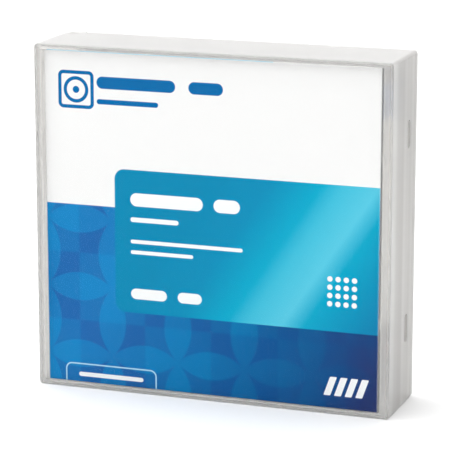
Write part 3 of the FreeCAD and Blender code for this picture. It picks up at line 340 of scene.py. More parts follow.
def build_flow_streaks():
    """Noise stretched along X and Z and squeezed along Y, fine and broad, from 0 to 1."""
    network, given, out = new_group(
        "Flow streaks", [("Fineness", "NodeSocketFloat", 1.0)], [("Streak", "NodeSocketFloat")])
    places = network.places()
    layers = []
    for stretch in (FINE_STRETCH, BROAD_STRETCH):
        squeezed = network.node("ShaderNodeMapping", ((0, places), (3, stretch))).outputs[0]
        layers.append(network.noise(squeezed, given["Fineness"], detail=1.0))
    both = network.maths("MULTIPLY_ADD", layers[0], FINE_SHARE,
                         network.maths("MULTIPLY", layers[1], BROAD_SHARE))
    network.join(network.ramp(both, *STREAK_RANGE), out["Streak"])


build_flow_streaks()
print("group:", "Flow streaks")

# %% [markdown]
# The case's front face is polished so the card reads clearly, and every other surface is
# frosted: light goes through it and comes out blurred, and part of it is sent back, which is
# why the walls look pale grey. A rough transmitting shader does the blur, and the share that
# is not transmitted is plain white scatter. Over the card the pane is made see-through with
# Alpha, as a real pane touching a print shows the ink almost undimmed. The shared skin gives
# the frost its grain, and the flow streaks change its colour a little. On the side walls the
# streaks carry painted shade: a much darker colour that stands for the dimmer side and the
# dark inside seen through the wall. A thin glossy coat, strongest on the top, catches the
# light from overhead.

# %% Frosted polypropylene
CASE_LOW, CASE_HIGH = (Vector(corner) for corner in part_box("case_lid"))
MIDDLE = (CASE_LOW + CASE_HIGH) / 2
HALF = (CASE_HIGH - CASE_LOW) / 2
CARD_LOW, CARD_HIGH = (Vector(corner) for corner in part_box("insert_card"))
# Where one surface ends and the next begins, in metres.
HAIR = 0.00004
EDGE_BAND = 0.0014
FACE_DEPTH = (0.0003, 0.0005)
STREAK_FADE = (0.003, 0.008)
PANE_BACK = CARD_LOW.y - 0.00005
PANE_MARGIN = 0.0009
# How much light goes through, and how solid the pane is over the card and round it.
CLEARNESS = 0.72
OVER_CARD = 0.012
BESIDE_CARD = 0.30
ABOVE_CARD = 0.98
# Gloss: roughness of the pane, the frost and the coat, and how much coat there is.
PANE_GLOSS = 0.09
FROST_GLOSS = (0.30, 0.35)
FROST_GRAIN = 0.0003
FROST_DEPTH = 0.2
STREAK_GLOSS = 0.03
COAT_GLOSS = 0.32
SIDE_POLISH = 0.12
TOP_POLISH = 0.9
# The plastic's own colour, in a streak, and the painted shade of a streak on a side wall.
MILK = (0.985, 0.975, 0.955, 1.0)
STREAK_MILK = (0.970, 0.960, 0.940, 1.0)
SIDE_PAINTED_SHADE = (0.62, 0.60, 0.575, 1.0)


def make_frosted_case():
    """Translucent case plastic: polished in front, frosted everywhere else.

    Each surface is picked out by its distance from the middle of the case or from its front
    face, cut over a hair's breadth: the sides by X, the top and bottom by Z, the face by Y.
    """
    material, network, shader = new_material("frosted_polypropylene")
    x, y, z = network.axes(network.places())
    streak = network.maths("MULTIPLY",
                           network.ramp(y, *(CASE_LOW.y + depth for depth in STREAK_FADE)),
                           use_group(network, "Flow streaks", (("Fineness", 1.0),))["Streak"])
    across = network.maths("ABSOLUTE", network.maths("SUBTRACT", x, MIDDLE.x))
    up = network.maths("ABSOLUTE", network.maths("SUBTRACT", z, MIDDLE.z))
    at_side = network.ramp(across, HALF.x - EDGE_BAND, HALF.x - EDGE_BAND / 2)
    at_top = network.ramp(up, HALF.z - EDGE_BAND, HALF.z - EDGE_BAND / 2)
    behind_face = network.ramp(y, *(CASE_LOW.y + depth for depth in FACE_DEPTH))
    frost = network.maths("MAXIMUM", behind_face, network.maths("MAXIMUM", at_side, at_top))
    depth = network.maths("MULTIPLY", frost, FROST_DEPTH)
    skin = use_group(network, "Moulded skin", (("Grain Size", FROST_GRAIN), ("Depth", depth),
                                               ("Roughness Low", FROST_GLOSS[0]),
                                               ("Roughness High", FROST_GLOSS[1])))
    frosted_gloss = network.maths("MULTIPLY_ADD", streak, STREAK_GLOSS, skin["Roughness"])
    rough = network.between(frost, PANE_GLOSS, frosted_gloss)

    def outside(low, high, margin):
        """One outside a range of X, nought inside it."""
        past = network.ramp(x, high + margin, high + margin + HAIR)
        short = network.ramp(x, low - margin - HAIR, low - margin, 1.0, 0.0)
        return network.maths("MAXIMUM", past, short)

    beside = network.between(outside(CARD_LOW.x, CARD_HIGH.x, 0.0), OVER_CARD, BESIDE_CARD)
    above = network.ramp(up, CARD_HIGH.z - MIDDLE.z, CARD_HIGH.z - MIDDLE.z + HAIR,
                         OVER_CARD, ABOVE_CARD)
    behind = network.ramp(y, PANE_BACK, PANE_BACK + HAIR)
    off_pane = network.maths("MAXIMUM", behind, network.maths(
        "MAXIMUM", outside(CARD_LOW.x, CARD_HIGH.x, PANE_MARGIN), at_top))
    alpha = network.between(off_pane, network.maths("MAXIMUM", beside, above), 1.0)
    # Painted shade: on the side walls the streaks take a much darker colour, for the dimmer side
    # and the dark inside seen through it.
    side_shade_mask = network.ramp(across, HALF.x - 2 * HAIR, HALF.x - HAIR)
    streak_and_side_shade = network.blend(side_shade_mask, STREAK_MILK, SIDE_PAINTED_SHADE)
    milk_and_side_shade = network.blend(streak, MILK, streak_and_side_shade)
    on_top = network.ramp(z, CASE_HIGH.z - 2 * HAIR, CASE_HIGH.z - HAIR)
    polish = network.between(on_top, SIDE_POLISH, TOP_POLISH)
    coat = network.maths("MULTIPLY", polish, network.maths("FLOOR", off_pane))
    finish_socket(network, shader, Base_Color=milk_and_side_shade, Roughness=rough, IOR=1.49,
                  Transmission_Weight=CLEARNESS, Alpha=alpha, Coat_Weight=coat,
                  Coat_Roughness=COAT_GLOSS, Coat_IOR=1.5, Normal=skin["Normal"])
    return material


frosted = make_frosted_case()
print("material:", frosted.name, "clearness", CLEARNESS)

# %% [markdown]
# The insert is a printed sheet. Printers give their colours as display values from 0 to 255,
# while a shader mixes linear light, so a short function turns one into the other. The print
# is built up as a press builds it: white stock, a blue field with a gradient towards a darker
# corner, a teal panel with rounded corners and a lighter diagonal sheen, and then white and
# blue marks. The marks are plain bars, rings, dots and stripes, because the sheet carries no
# wording. Every place and size is in millimetres: X, Z, half width, half height and radius.

# %% Printed card
def ink(red, green, blue):
    """Display values from 0 to 255 as linear light: ((c + 0.055) / 1.055) to the power 2.4."""
    shares = (np.array((red, green, blue)) / 255.0 + 0.055) / 1.055
    return (*shares ** 2.4, 1.0)


STOCK = ink(247, 247, 246)
PAPER_WHITE = ink(250, 252, 252)
TITLE_BLUE = ink(6, 108, 172)
LINE_BLUE = ink(176, 222, 242)

FIELD_TOP = 59.5
FIELD_SPAN = (-45.0, 52.0)
FIELD_SLOPE = -0.35
DEEP_BLUES = [(0.0, ink(32, 104, 174)), (0.62, ink(8, 84, 148)), (0.85, ink(26, 70, 130)),
              (1.0, ink(42, 52, 106))]
BRIGHT_BLUES = [(0.0, ink(22, 134, 198)), (0.45, ink(0, 118, 178)), (0.85, ink(16, 76, 136)),
                (1.0, ink(38, 56, 110))]
TILE_PITCH = 22.0
CHEQUER_SHARE = 0.35
PETAL_SHARE = 0.65

PANEL = (20.0, 48.9, 51.8, 22.9, 3.2)
SHEEN_SPAN = (-45.0, 35.0)
SHEEN_FOOT = 16.5
SHEEN_SLOPE = 0.676
TEALS = [(0.0, ink(2, 138, 182)), (0.22, ink(2, 143, 187)), (0.42, ink(0, 170, 206)),
         (0.50, ink(66, 192, 220)), (0.64, ink(90, 203, 228)), (0.73, ink(0, 168, 204)),
         (1.0, ink(8, 132, 180))]

BLUE_MARKS = [
    (-24.5, 98.6, 13.0, 1.9, 1.9),
    (-1.6, 98.6, 5.6, 1.9, 1.9),
    (-27.3, 92.6, 10.2, 0.8, 0.8),
]
WHITE_MARKS = [
    (-14.6, 62.4, 12.0, 2.1, 2.1),
    (5.2, 62.4, 4.3, 2.1, 2.1),
    (-18.6, 56.0, 8.0, 0.75, 0.75),
    (-8.1, 49.0, 18.5, 0.6, 0.6),
    (-16.2, 45.6, 10.4, 0.6, 0.6),
    (-20.6, 32.2, 6.0, 1.7, 1.7),
    (-7.0, 32.2, 4.0, 1.7, 1.7),
    (-33.7, 4.2, 11.0, 0.7, 0.7),
]
FRAME_BOX = (-33.7, 1.0, 15.3, 6.6, 2.0)
FRAME_LINE = 0.22
TOP_RULE = (-17.0, 108.15, 37.0, 0.22, 0.1)
REEL_MARK = (-44.4, 96.0)
REEL_RING = (*REEL_MARK, 3.6, 3.6, 3.6)
REEL_FRAME = (*REEL_MARK, 5.4, 5.4, 1.2)
REEL_EYE = (*REEL_MARK, 1.1, 1.1, 1.1)
REEL_LINE = 0.55
FOUR_STEPS = (-1.5, -0.5, 0.5, 1.5)
DOT_GRID = (42.4, 38.6)
DOT_STEP = 2.6
DOT_SIZE = 0.85
STRIPES = (41.0, 8.6)
STRIPE_STEP = 3.4
STRIPE_SIZE = (1.1, 3.0, 0.3)
PRINT_DEPTH = (0.02, 0.04)
FIBRE_SCALE = 4200.0
FIBRE_RELIEF = 0.00002


def make_card():
    """White stock, blue field, teal panel and plain marks, on the sheet's front only."""
    material, network, shader = new_material("printed_card")
    metres = network.places()
    places = network.in_mm(metres)
    x, y, z = network.axes(places)

    def colours(value, span, stops):
        """A smooth run of colours, each at its share of the way along the span."""
        share = network.ramp(value, *span)
        made = network.node("ShaderNodeValToRGB", ((0, share),))
        made.color_ramp.elements[0].color = stops[0][1]
        made.color_ramp.elements[1].color = stops[-1][1]
        for place, colour in stops[1:-1]:
            made.color_ramp.elements.new(place).color = colour
        return made.outputs[0]

    lean = network.maths("MULTIPLY_ADD", z, FIELD_SLOPE, x)
    tiles = use_group(network, "Petal tiles", (("Place", places), ("Pitch", TILE_PITCH)))
    tone = network.maths("MULTIPLY_ADD", tiles["Chequer"], CHEQUER_SHARE,
                         network.maths("MULTIPLY", tiles["Petals"], PETAL_SHARE))
    field = network.blend(tone, colours(lean, FIELD_SPAN, DEEP_BLUES),
                          colours(lean, FIELD_SPAN, BRIGHT_BLUES))
    sheet = network.blend(network.ramp(z, FIELD_TOP - EDGE_SOFTNESS, FIELD_TOP + EDGE_SOFTNESS),
                          field, STOCK)

    slant = network.maths("SUBTRACT", network.maths("MULTIPLY_ADD", z, -SHEEN_SLOPE, x),
                          SHEEN_FOOT - SHEEN_SLOPE * (PANEL[1] - PANEL[3]))
    sheet = network.blend(patch(network, places, *PANEL)["Mask"], sheet,
                          colours(slant, SHEEN_SPAN, TEALS))

    def marks(sheet, rows, colour, laid=places):
        """Adds rounded marks of one colour, on the upright or on leaning places."""
        for row in rows:
            sheet = network.blend(patch(network, laid, *row)["Mask"], sheet, colour)
        return sheet

    def outlines(sheet, rows, line, colour):
        """Adds only the outlines of rounded shapes: where the distance is within the line."""
        for row in rows:
            away = network.maths("ABSOLUTE", patch(network, places, *row)["Distance"])
            inked = network.ramp(away, line - EDGE_SOFTNESS, line + EDGE_SOFTNESS, 1.0, 0.0)
            sheet = network.blend(inked, sheet, colour)
        return sheet

    dots = [(DOT_GRID[0] + DOT_STEP * column, DOT_GRID[1] + DOT_STEP * row, *[DOT_SIZE] * 3)
            for column in FOUR_STEPS for row in FOUR_STEPS]
    stripes = [(STRIPES[0] + STRIPE_STEP * count, STRIPES[1], *STRIPE_SIZE)
               for count in FOUR_STEPS]
    leaning = network.node("ShaderNodeCombineXYZ", ((0, lean), (2, z))).outputs[0]
    sheet = marks(sheet, BLUE_MARKS, TITLE_BLUE)
    sheet = marks(sheet, WHITE_MARKS, PAPER_WHITE)
    sheet = outlines(sheet, [REEL_RING, REEL_FRAME], REEL_LINE, TITLE_BLUE)
    sheet = marks(sheet, [REEL_EYE], TITLE_BLUE)
    sheet = outlines(sheet, [FRAME_BOX], FRAME_LINE, LINE_BLUE)
    sheet = marks(sheet, dots, PAPER_WHITE)
    sheet = marks(sheet, stripes, PAPER_WHITE, leaning)
    sheet = marks(sheet, [TOP_RULE], LINE_BLUE)

    front = network.ramp(y, *(CARD_LOW.y / MM + depth for depth in PRINT_DEPTH), 1.0, 0.0)
    printed = network.blend(front, STOCK, sheet)
    fibres = network.noise(metres, FIBRE_SCALE, detail=3.0)
    finish_socket(network, shader, Base_Color=printed, Specular_IOR_Level=0.01,
                  Roughness=network.between(fibres, 0.38, 0.52),
                  Normal=network.bump(fibres, 0.04, FIBRE_RELIEF))
    return material


card = make_card()
print("material:", card.name, "marks", len(BLUE_MARKS) + len(WHITE_MARKS))

# %% [markdown]
# Everything that turns about the reel's axis shows it: turned steel has fine circular tool
# lines, moulded flanges copy the lathe lines of their mould, and wound tape shows one faint
# line for each turn, a little lighter or darker as the tension changed. All three are noise
# read from one number only, the distance from the axis, so one group makes them.

# %% Shared group: rings
REEL_BOX = [Vector(corner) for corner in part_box("reel_flange")]
AXIS = (REEL_BOX[0] + REEL_BOX[1]) / 2
RING_RELIEF = 0.00002


def build_rings():
    """Circular lines about an axis along Y: noise of the radius divided by the pitch."""
    network, given, out = new_group(
        "Rings",
        [("Centre X", "NodeSocketFloat", AXIS.x), ("Centre Z", "NodeSocketFloat", AXIS.z),
         ("Pitch", "NodeSocketFloat", 0.0002), ("Depth", "NodeSocketFloat", 0.3)],
        [("Tone", "NodeSocketFloat"), ("Normal", "NodeSocketVector")])
    x, _, z = network.axes(network.places())
    squares = [network.maths("POWER", network.maths("SUBTRACT", value, given[centre]), 2.0)
               for value, centre in ((x, "Centre X"), (z, "Centre Z"))]
    radius = network.maths("SQRT", network.maths("ADD", *squares))
    turns = network.maths("DIVIDE", radius, given["Pitch"])
    tone = network.node("ShaderNodeTexNoise", (("W", turns), ("Scale", 1.0), ("Detail", 3.0)),
                        noise_dimensions="1D").outputs["Fac"]
    network.join(tone, out["Tone"])
    network.join(network.bump(tone, given["Depth"], RING_RELIEF), out["Normal"])


build_rings()
print("group:", "Rings", "axis in mm:", [round(v / MM, 2) for v in AXIS])

# %% [markdown]
# Parts that are handled pick up fine hairline scuffs. They are straight, thin, sparse and lie
# at random angles. Stretching noise sixtyfold or more along one direction turns blobs into
# lines, and keeping only its highest values leaves a few. Two turned copies cross each other.
# The scuffs only change the gloss, as on real plastic, where they show in a reflection.

# %% Shared group: scuffs
SCUFF_LAYERS = ((0.5, (900.0, 900.0, 14.0)), (-0.8, (14.0, 900.0, 1100.0)))
SCUFF_START = 0.78
SCUFF_REACH = -0.16
SCUFF_EDGE = 0.05


def build_scuffs():
    """A sparse mask of hairlines: the top of noise stretched along two crossing directions."""
    network, given, out = new_group(
        "Scuffs", [("Density", "NodeSocketFloat", 0.5)], [("Mask", "NodeSocketFloat")])
    places = network.places()
    start = network.maths("MULTIPLY_ADD", given["Density"], SCUFF_REACH, SCUFF_START)
    end = network.maths("ADD", start, SCUFF_EDGE)
    masks = []
    for turn, stretch in SCUFF_LAYERS:
        laid = network.node("ShaderNodeMapping", ((0, places), (2, (0.2 * turn, turn, turn / 3)),
                                                  (3, stretch)), vector_type="POINT").outputs[0]
        masks.append(network.ramp(network.noise(laid, 1.0, detail=1.0), start, end))
    network.join(network.maths("MAXIMUM", *masks), out["Mask"])


build_scuffs()
print("group:", "Scuffs")

# %% [markdown]
# The cartridge is moulded in dark slate polycarbonate from a spark-eroded mould. That leaves
# an even, fine, pebbled texture which breaks up every highlight, and hides fingerprints. The
# colour drifts a little where the melt cooled at different speeds.

# %% Moulded plastics
SCUFF_GLOSS = 0.12


def make_moulded(name, colour, shade, grain, depth, gloss, scuffs=0.35):
    """A moulded plastic: two near colours, eroded grain, cloudy gloss and a few scuffs."""
    material, network, shader = new_material(name)
    skin = use_group(network, "Moulded skin", (("Grain Size", grain), ("Depth", depth),
                                               ("Roughness Low", gloss[0]),
                                               ("Roughness High", gloss[1])))
    lines = use_group(network, "Scuffs", (("Density", scuffs),))["Mask"]
    rough = network.maths("MULTIPLY_ADD", lines, SCUFF_GLOSS, skin["Roughness"])
    colours = network.blend(skin["Cloud"], (*colour, 1.0), (*shade, 1.0))
    finish_socket(network, shader, Base_Color=colours, Roughness=rough, Normal=skin["Normal"])
    print("material:", name)
    return material


SLATE = make_moulded("cartridge_slate", (0.060, 0.066, 0.086), (0.046, 0.051, 0.068),
                     grain=0.00035, depth=0.9, gloss=(0.42, 0.56))
ACETAL = make_moulded("natural_acetal", (0.74, 0.72, 0.65), (0.69, 0.67, 0.60),
                      grain=0.0006, depth=0.15, gloss=(0.24, 0.34), scuffs=0.2)
RED = make_moulded("red_slider", (0.52, 0.030, 0.022), (0.42, 0.022, 0.018),
                   grain=0.0004, depth=0.5, gloss=(0.34, 0.44))

# %% [markdown]
# The reel is natural polycarbonate: pale, slightly warm, and glossy enough to show the
# circular lathe lines of its mould. Rings give the bump, and the moulded skin gives the gloss.

# %% Reel plastic
def make_reel():
    """Pale reel plastic with circular tool lines."""
    material, network, shader = new_material("reel_plastic")
    skin = use_group(network, "Moulded skin", (("Grain Size", 0.0005), ("Depth", 0.1),
                                               ("Roughness Low", 0.26), ("Roughness High", 0.38)))
    rings = use_group(network, "Rings", (("Pitch", 0.00025), ("Depth", 0.25)))
    colours = network.blend(skin["Cloud"], (0.66, 0.66, 0.64, 1.0), (0.60, 0.60, 0.575, 1.0))
    finish_socket(network, shader, Base_Color=colours, Roughness=skin["Roughness"],
                  Normal=rings["Normal"])
    return material


REEL = make_reel()
print("material:", REEL.name)

# %% [markdown]
# Zinc-plated steel is bright but never a mirror. A turned part such as the clutch plate keeps
# its tool rings, so its highlight becomes a fan. Springs are drawn wire: the die leaves
# lines along the wire and a darker, greyer skin. Both are metallic, with the gloss changed
# by cloudy noise where the plating is thicker.

# %% Metals
def make_metal(name, colour, shade, gloss, pitch, depth):
    """Plated or drawn steel: cloudy gloss over fine lines."""
    material, network, shader = new_material(name)
    skin = use_group(network, "Moulded skin", (("Grain Size", 0.0002), ("Depth", 0.2),
                                               ("Roughness Low", gloss[0]),
                                               ("Roughness High", gloss[1])))
    rings = use_group(network, "Rings", (("Pitch", pitch), ("Depth", depth)))
    colours = network.blend(network.maths("MULTIPLY", rings["Tone"], skin["Cloud"]),
                            (*colour, 1.0), (*shade, 1.0))
    finish_socket(network, shader, Base_Color=colours, Metallic=1.0,
                  Roughness=skin["Roughness"], Normal=rings["Normal"])
    print("material:", name)
    return material


PLATED = make_metal("plated_steel", (0.70, 0.70, 0.71), (0.58, 0.585, 0.60), (0.22, 0.36),
                    pitch=0.00016, depth=0.5)
WIRE = make_metal("drawn_wire", (0.54, 0.54, 0.55), (0.42, 0.42, 0.43), (0.30, 0.42),
                  pitch=0.00009, depth=0.35)

# %% [markdown]
# Magnetic tape is a dark brown film, about six thousandths of a millimetre thick. Seen from
# the side, the wound pack is thousands of edges: fine rings, some grouped into lighter bands
# where the winding shifted. Seen flat, as on the leader, it is a smooth glossy film.

# %% Tape film
BAND_RANGE, BAND_SHARE = (0.35, 0.7), 0.6
LINE_RANGE, LINE_SHARE = (0.3, 0.75), 0.4
FILM_DARK = (0.020, 0.015, 0.013, 1.0)
FILM_LIGHT = (0.052, 0.040, 0.034, 1.0)


def make_tape():
    """Dark film: its wound edges show as fine rings in broad, fainter bands."""
    material, network, shader = new_material("tape_film")
    fine = use_group(network, "Rings", (("Pitch", 0.00012), ("Depth", 0.6)))
    broad = use_group(network, "Rings", (("Pitch", 0.0016), ("Depth", 0.0)))
    band = network.ramp(broad["Tone"], *BAND_RANGE)
    line = network.ramp(fine["Tone"], *LINE_RANGE)
    tone = network.maths("MULTIPLY_ADD", band, BAND_SHARE,
                         network.maths("MULTIPLY", line, LINE_SHARE))
    colours = network.blend(tone, FILM_DARK, FILM_LIGHT)
    finish_socket(network, shader, Base_Color=colours, Normal=fine["Normal"],
                  Roughness=network.between(tone, 0.20, 0.36))
    return material


TAPE = make_tape()
print("material:", TAPE.name)

# %% [markdown]
# The cartridge's memory is a small board that a drive reads by radio. It carries a square
# copper loop of several turns under green solder resist, and one black blob over the chip.
# The loop is a patch's distance wrapped at every step, a little under a millimetre: equal
# steps of distance from a rounded square are exactly the turns of such a coil.

# %% Memory board
CHIP_LOW, CHIP_HIGH = (Vector(corner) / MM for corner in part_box("memory_chip"))
LOOP_STEP = 0.9
LOOP_INNER = (-4.2, -4.1)
TRACK_EDGE = (0.22, 0.28)
BOARD_CORNER = 1.0
BLOB_SIZE = 1.8
BOARD_RELIEF = 0.00003
BOARD_CLOUD = 400.0
RESIST = (0.020, 0.11, 0.045, 1.0)
RESIST_LIGHT = (0.028, 0.14, 0.060, 1.0)
COPPER = (0.10, 0.24, 0.075, 1.0)
BLOB = (0.012, 0.012, 0.013, 1.0)


def make_board():
    """Green board with a square copper loop and a dark blob."""
    material, network, shader = new_material("memory_board")
    metres = network.places()
    places = network.in_mm(metres)
    centre = (CHIP_LOW + CHIP_HIGH) / 2
    half = (CHIP_HIGH - CHIP_LOW) / 2
    edge = patch(network, places, centre.x, centre.z, half.x, half.z, BOARD_CORNER)["Distance"]
    turns = network.maths("FRACT", network.maths("DIVIDE", edge, LOOP_STEP))
    off_middle = network.maths("ABSOLUTE", network.maths("SUBTRACT", turns, 0.5))
    copper = network.maths("MULTIPLY", network.ramp(off_middle, *TRACK_EDGE),
                           network.ramp(edge, *LOOP_INNER))
    blob = patch(network, places, centre.x, centre.z, *[BLOB_SIZE] * 3)["Mask"]
    cloud = network.noise(metres, BOARD_CLOUD)
    colours = network.blend(copper, network.blend(cloud, RESIST, RESIST_LIGHT), COPPER)
    colours = network.blend(blob, colours, BLOB)
    finish_socket(network, shader, Base_Color=colours,
                  Roughness=network.between(cloud, 0.24, 0.36),
                  Normal=network.bump(network.maths("ADD", copper, blob), 0.5, BOARD_RELIEF))
    return material


BOARD = make_board()
print("material:", BOARD.name)

# %% [markdown]
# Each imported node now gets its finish. The node's mesh stays as it is: only the material in
# its slot is swapped.

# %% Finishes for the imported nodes
FINISHES = {
    "case_lid": frosted, "case_base": frosted, "insert_card": card,
    "upper_shell": SLATE, "lower_shell": SLATE, "door": SLATE,
    "write_protect_tab": RED, "release_plate": RED,
    "pin_clip": ACETAL, "brake_plate": ACETAL,
    "reel_hub": REEL, "reel_flange": REEL,
    "clutch_plate": PLATED, "shell_screws": PLATED, "leader_pin": PLATED,
    "door_spring": WIRE, "pin_springs": WIRE, "brake_spring": WIRE,
    "tape_pack": TAPE, "leader_tape": TAPE, "memory_chip": BOARD,
}
for name, node in NODES.items():
    node.data.materials.clear()
    node.data.materials.append(FINISHES[name])
print("finished nodes:", len(FINISHES))

# %% [markdown]
# Two compression springs work inside the cartridge: a long thin one shuts the leader door,
# and a short wide one holds the reel's brake down. Each is hard-drawn wire wound on a rod,
# and about a third of a turn at each end lies flat, so that it stands square on its seat. A
# tube carried along a helix gives the wire.

# %% Coil springs
WIRE_SIDES = 12
STEPS_PER_TURN = 28
FLAT_TURNS = 0.35


def coil_surface(low, high, axis, wire, turns):
    """A round wire on a helix that fills a box.

    At a share t of the way along, the centre has turned by 2 pi t times the turns, and has
    climbed by t, less the flat ends. Round each centre, the ring is the wire's radius times
    cos(s) outwards plus sin(s) across, where across is square to the wire and to outwards.
    """
    t = np.linspace(0, 1, int(STEPS_PER_TURN * turns))
    angle = 2 * np.pi * turns * t
    flat = FLAT_TURNS / turns
    climb = np.clip((t - flat) / (1 - 2 * flat), 0, 1)
    low, high = np.array(low), np.array(high)
    middle = (low + high) / 2
    side, other = (axis + 1) % 3, (axis + 2) % 3
    outward = np.zeros((len(t), 3))
    outward[:, side], outward[:, other] = np.cos(angle), np.sin(angle)
    centre = middle + outward * ((high[side] - low[side]) / 2 - wire)
    centre[:, axis] = low[axis] + wire + climb * (high[axis] - low[axis] - 2 * wire)
    along = np.gradient(centre, axis=0)
    across = np.cross(along / np.linalg.norm(along, axis=1, keepdims=True), outward)
    s = np.linspace(0, 2 * np.pi, WIRE_SIDES, endpoint=False)[None, :, None]
    ring = np.cos(s) * outward[:, None, :] + np.sin(s) * across[:, None, :]
    return centre[:, None, :] + wire * ring


def grid_object(name, points, closed=False):
    """A mesh object from a grid of points; closed joins the columns and caps both ends."""
    index = np.arange(points.shape[0] * points.shape[1]).reshape(points.shape[:2])
    ring = np.column_stack((index, index[:, 0])) if closed else index
    faces = np.stack((ring[:-1, :-1], ring[:-1, 1:], ring[1:, 1:], ring[1:, :-1]),
                     axis=-1).reshape(-1, 4).tolist()
    if closed:
        faces += [index[0, ::-1].tolist(), index[-1].tolist()]
    mesh = bpy.data.meshes.new(name)
    mesh.from_pydata(points.reshape(-1, 3), [], faces)
    made = bpy.data.objects.new(name, mesh)
    bpy.context.collection.objects.link(made)
    return made


def make_coil(node, axis, wire, turns):
    """Draws the spring in its own place."""
    low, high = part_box(node)
    coil = grid_object(node + "_coil", coil_surface(low, high, axis, wire, turns), closed=True)
    coil.data.shade_smooth()
    coil.data.materials.append(WIRE)
    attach(coil, "base")
    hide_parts(node)
    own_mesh(coil)


make_coil("door_spring", axis=0, wire=0.00020, turns=7.0)
make_coil("brake_spring", axis=1, wire=0.00045, turns=3.0)

# %% [markdown]
# New cartridges come with a blank paper label in the shallow recess of the end wall, for the
# owner to write on. Paper is a surface, so it is worked out on a grid: across and up the
# recess, with its four corners rounded by pulling the grid in, and a very slight lift
# towards one end, as labels have once they have been handled. A Solidify modifier gives it
# the thickness of paper and glue.

# %% Recess label
SHELL_HIGH = Vector(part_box("upper_shell")[1])
RECESS_DEPTH = 0.0005
RECESS_HALF_DEPTH = 0.0083
RECESS_TOP = SHELL_HIGH.z - 0.005
RECESS_HEIGHT = 0.076
LABEL_MARGIN = 0.0006
LABEL_THICK = 0.00012
LABEL_RADIUS = 0.0012
LABEL_GLUE = 0.00004
LABEL_LIFT = 0.00008
PART_LINE = SHELL_HIGH.y


def label_surface(rows=60, columns=18):
    """A sheet in the YZ plane, facing +X.

    For a height t from -1 to 1, the half width is the recess's, less the circle's bite
    radius - sqrt(radius^2 - d^2) where d says how far the height is into a corner. X is the
    recess floor plus a lift that grows as the square of t towards the foot.
    """
    half_width = RECESS_HALF_DEPTH - LABEL_MARGIN
    half_height = RECESS_HEIGHT / 2 - LABEL_MARGIN
    share = np.sin(np.linspace(-1, 1, rows) * np.pi / 2)
    t, s = np.meshgrid(share, np.linspace(-1, 1, columns), indexing="ij")
    into = np.clip(np.abs(t) * half_height - (half_height - LABEL_RADIUS), 0, LABEL_RADIUS)
    bite = LABEL_RADIUS - np.sqrt(np.maximum(LABEL_RADIUS ** 2 - into ** 2, 0))
    y = PART_LINE + s * (half_width - bite)
    z = RECESS_TOP - RECESS_HEIGHT / 2 + t * half_height
    lift = LABEL_LIFT * np.clip(-t, 0, 1) ** 2
    x = np.full_like(y, SHELL_HIGH.x - RECESS_DEPTH) + LABEL_GLUE + lift
    return np.stack((x, y, z), axis=-1)


label = grid_object("recess_label", label_surface())
solid = label.modifiers.new("thickness", "SOLIDIFY")
solid.thickness = LABEL_THICK
solid.offset = 1.0
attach(label, "base")
print("piece:", label.name, "vertices", len(label.data.vertices))

# %% [markdown]
# The label paper is uncoated, so it scatters light evenly and shows its fibres up close. A
# printed strip of blue at its head and thin ruled lines below are all it needs.

# %% Label paper
HEAD_DEPTH = (0.0110, 0.0109)
RULE_STEP = 0.0070
RULE_EDGE = (0.016, 0.022)
RULE_END = (0.0062, 0.0063)
PAPER_LOW, PAPER_HIGH = ink(240, 240, 236), ink(248, 248, 245)
HEAD_BLUE = ink(26, 98, 168)
RULE_GREY = ink(150, 170, 190)
LABEL_FIBRE_SCALE = 5200.0


def make_label_paper():
    """Uncoated white paper with a blue head strip and thin rules."""
    material, network, shader = new_material("label_paper")
    metres = network.places()
    _, y, z = network.axes(metres)
    fibres = network.noise(metres, LABEL_FIBRE_SCALE, detail=3.0)
    paper = network.blend(fibres, PAPER_LOW, PAPER_HIGH)
    head = network.ramp(z, *(RECESS_TOP - depth for depth in HEAD_DEPTH))
    paper = network.blend(head, paper, HEAD_BLUE)
    step = network.maths("FRACT", network.maths("DIVIDE", z, RULE_STEP))
    off_rule = network.maths("ABSOLUTE", network.maths("SUBTRACT", step, 0.5))
    rule = network.ramp(off_rule, *RULE_EDGE, 1.0, 0.0)
    off_middle = network.maths("ABSOLUTE", network.maths("SUBTRACT", y, PART_LINE))
    inside = network.ramp(off_middle, *RULE_END, 1.0, 0.0)
    below = network.maths("SUBTRACT", 1.0, head)
    rule = network.maths("MULTIPLY", rule, network.maths("MULTIPLY", inside, below))
    paper = network.blend(rule, paper, RULE_GREY)
    finish_socket(network, shader, Base_Color=paper,
                  Roughness=network.between(fibres, 0.72, 0.85),
                  Normal=network.bump(fibres, 0.3, FIBRE_RELIEF))
    return material


label.data.materials.append(make_label_paper())
print("material:", label.data.materials[0].name)

# %% [markdown]
# The studio is a pale paper floor inside a soft white dome. The dome sheds the most light
# from overhead, and more from the left than from the right, as a large softbox and a white
# wall would, and one wide lamp at the left and in front gives the shadow its direction.
# A dome is kinder than small strong lamps to frosted plastic, where each strong lamp is seen
# through the wall as a speckle. What the eye sees directly, mirrored or through plastic is a
# plain white room. The light is set so that a white card reads just under white.

# %% Studio
KEY_PLACE = (-0.9, -1.0, 0.9)
KEY_POWER = 1.6
KEY_SIZE = 1.4
DOME_BASE = 0.20
DOME_LEAN = (-1.10, 0.10, 0.75)
DOME_TOP = 3.0
DOME_FOCUS = 4.0
FLOOR_HALF = 6.0
FLOOR_LIFT = 0.16
FLOOR_SPECK = 900.0
FLOOR_TONES = (0.66, 0.66, 0.66, 1.0), (0.68, 0.68, 0.68, 1.0)


def seen_rays(network):
    """One for rays that the eye follows: straight, mirrored or through glass."""
    path = network.node("ShaderNodeLightPath")
    mirrored = network.maths("MAXIMUM", path.outputs["Is Camera Ray"],
                             path.outputs["Is Glossy Ray"])
    return network.maths("MAXIMUM", mirrored, path.outputs["Is Transmission Ray"])


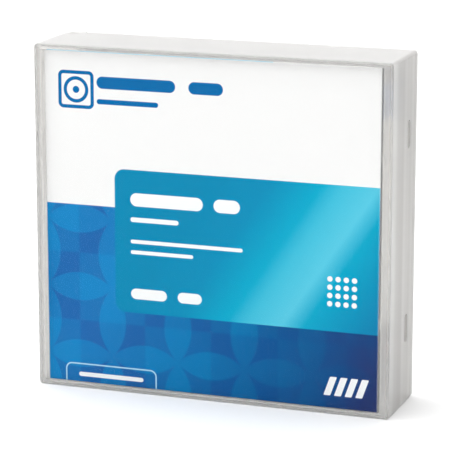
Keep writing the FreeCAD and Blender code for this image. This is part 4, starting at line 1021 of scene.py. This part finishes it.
def make_floor():
    """A flat sheet of pale paper, much larger than the view."""
    mesh = bpy.data.meshes.new("floor")
    corners = [(-1, -1), (1, -1), (1, 1), (-1, 1)]
    mesh.from_pydata([(x * FLOOR_HALF, y * FLOOR_HALF, 0.0) for x, y in corners], [],
                     [(0, 1, 2, 3)])
    floor = bpy.data.objects.new("floor", mesh)
    bpy.context.collection.objects.link(floor)
    material, network, shader = new_material("floor_paper")
    speck = network.noise(network.places(), FLOOR_SPECK)
    finish_socket(network, shader, Roughness=0.9, Specular_IOR_Level=0.1,
                  Base_Color=network.blend(speck, *FLOOR_TONES),
                  Emission_Color=(1.0, 1.0, 1.0, 1.0),
                  Emission_Strength=network.maths("MULTIPLY", seen_rays(network), FLOOR_LIFT))
    mesh.materials.append(material)


def make_world():
    """White for the eye; for all else a base, a lean and a softbox.

    The lean is the direction's part along DOME_LEAN, kept from falling below nought, and the
    softbox is the direction's height to the power DOME_FOCUS.
    """
    world = bpy.data.worlds.new("studio")
    bpy.context.scene.world = world
    world.use_nodes = True
    network = Network(world.node_tree)
    background = world.node_tree.nodes["Background"]
    background.inputs["Color"].default_value = (1.0, 1.0, 1.0, 1.0)
    direction = network.node("ShaderNodeTexCoord").outputs["Generated"]
    lean = network.node("ShaderNodeVectorMath", ((0, direction), (1, DOME_LEAN)),
                        operation="DOT_PRODUCT").outputs["Value"]
    height = network.maths("MAXIMUM", network.axes(direction)[2], 0.0)
    softbox = network.maths("MULTIPLY", network.maths("POWER", height, DOME_FOCUS), DOME_TOP)
    walls = network.maths("MAXIMUM", network.maths("ADD", lean, DOME_BASE), 0.0)
    shed = network.maths("ADD", walls, softbox)
    network.join(network.between(seen_rays(network), shed, 1.0), background.inputs["Strength"])


def make_lamp(name, place, size, power):
    """A square soft lamp that points at the object."""
    data = bpy.data.lights.new(name, "AREA")
    data.size = size
    data.energy = power
    made = bpy.data.objects.new(name, data)
    made.location = place
    made.rotation_euler = (AIM - Vector(place)).to_track_quat("-Z", "Y").to_euler()
    bpy.context.collection.objects.link(made)


make_floor()
make_world()
make_lamp("key", KEY_PLACE, KEY_SIZE, KEY_POWER)
bpy.context.scene.view_settings.view_transform = "Standard"
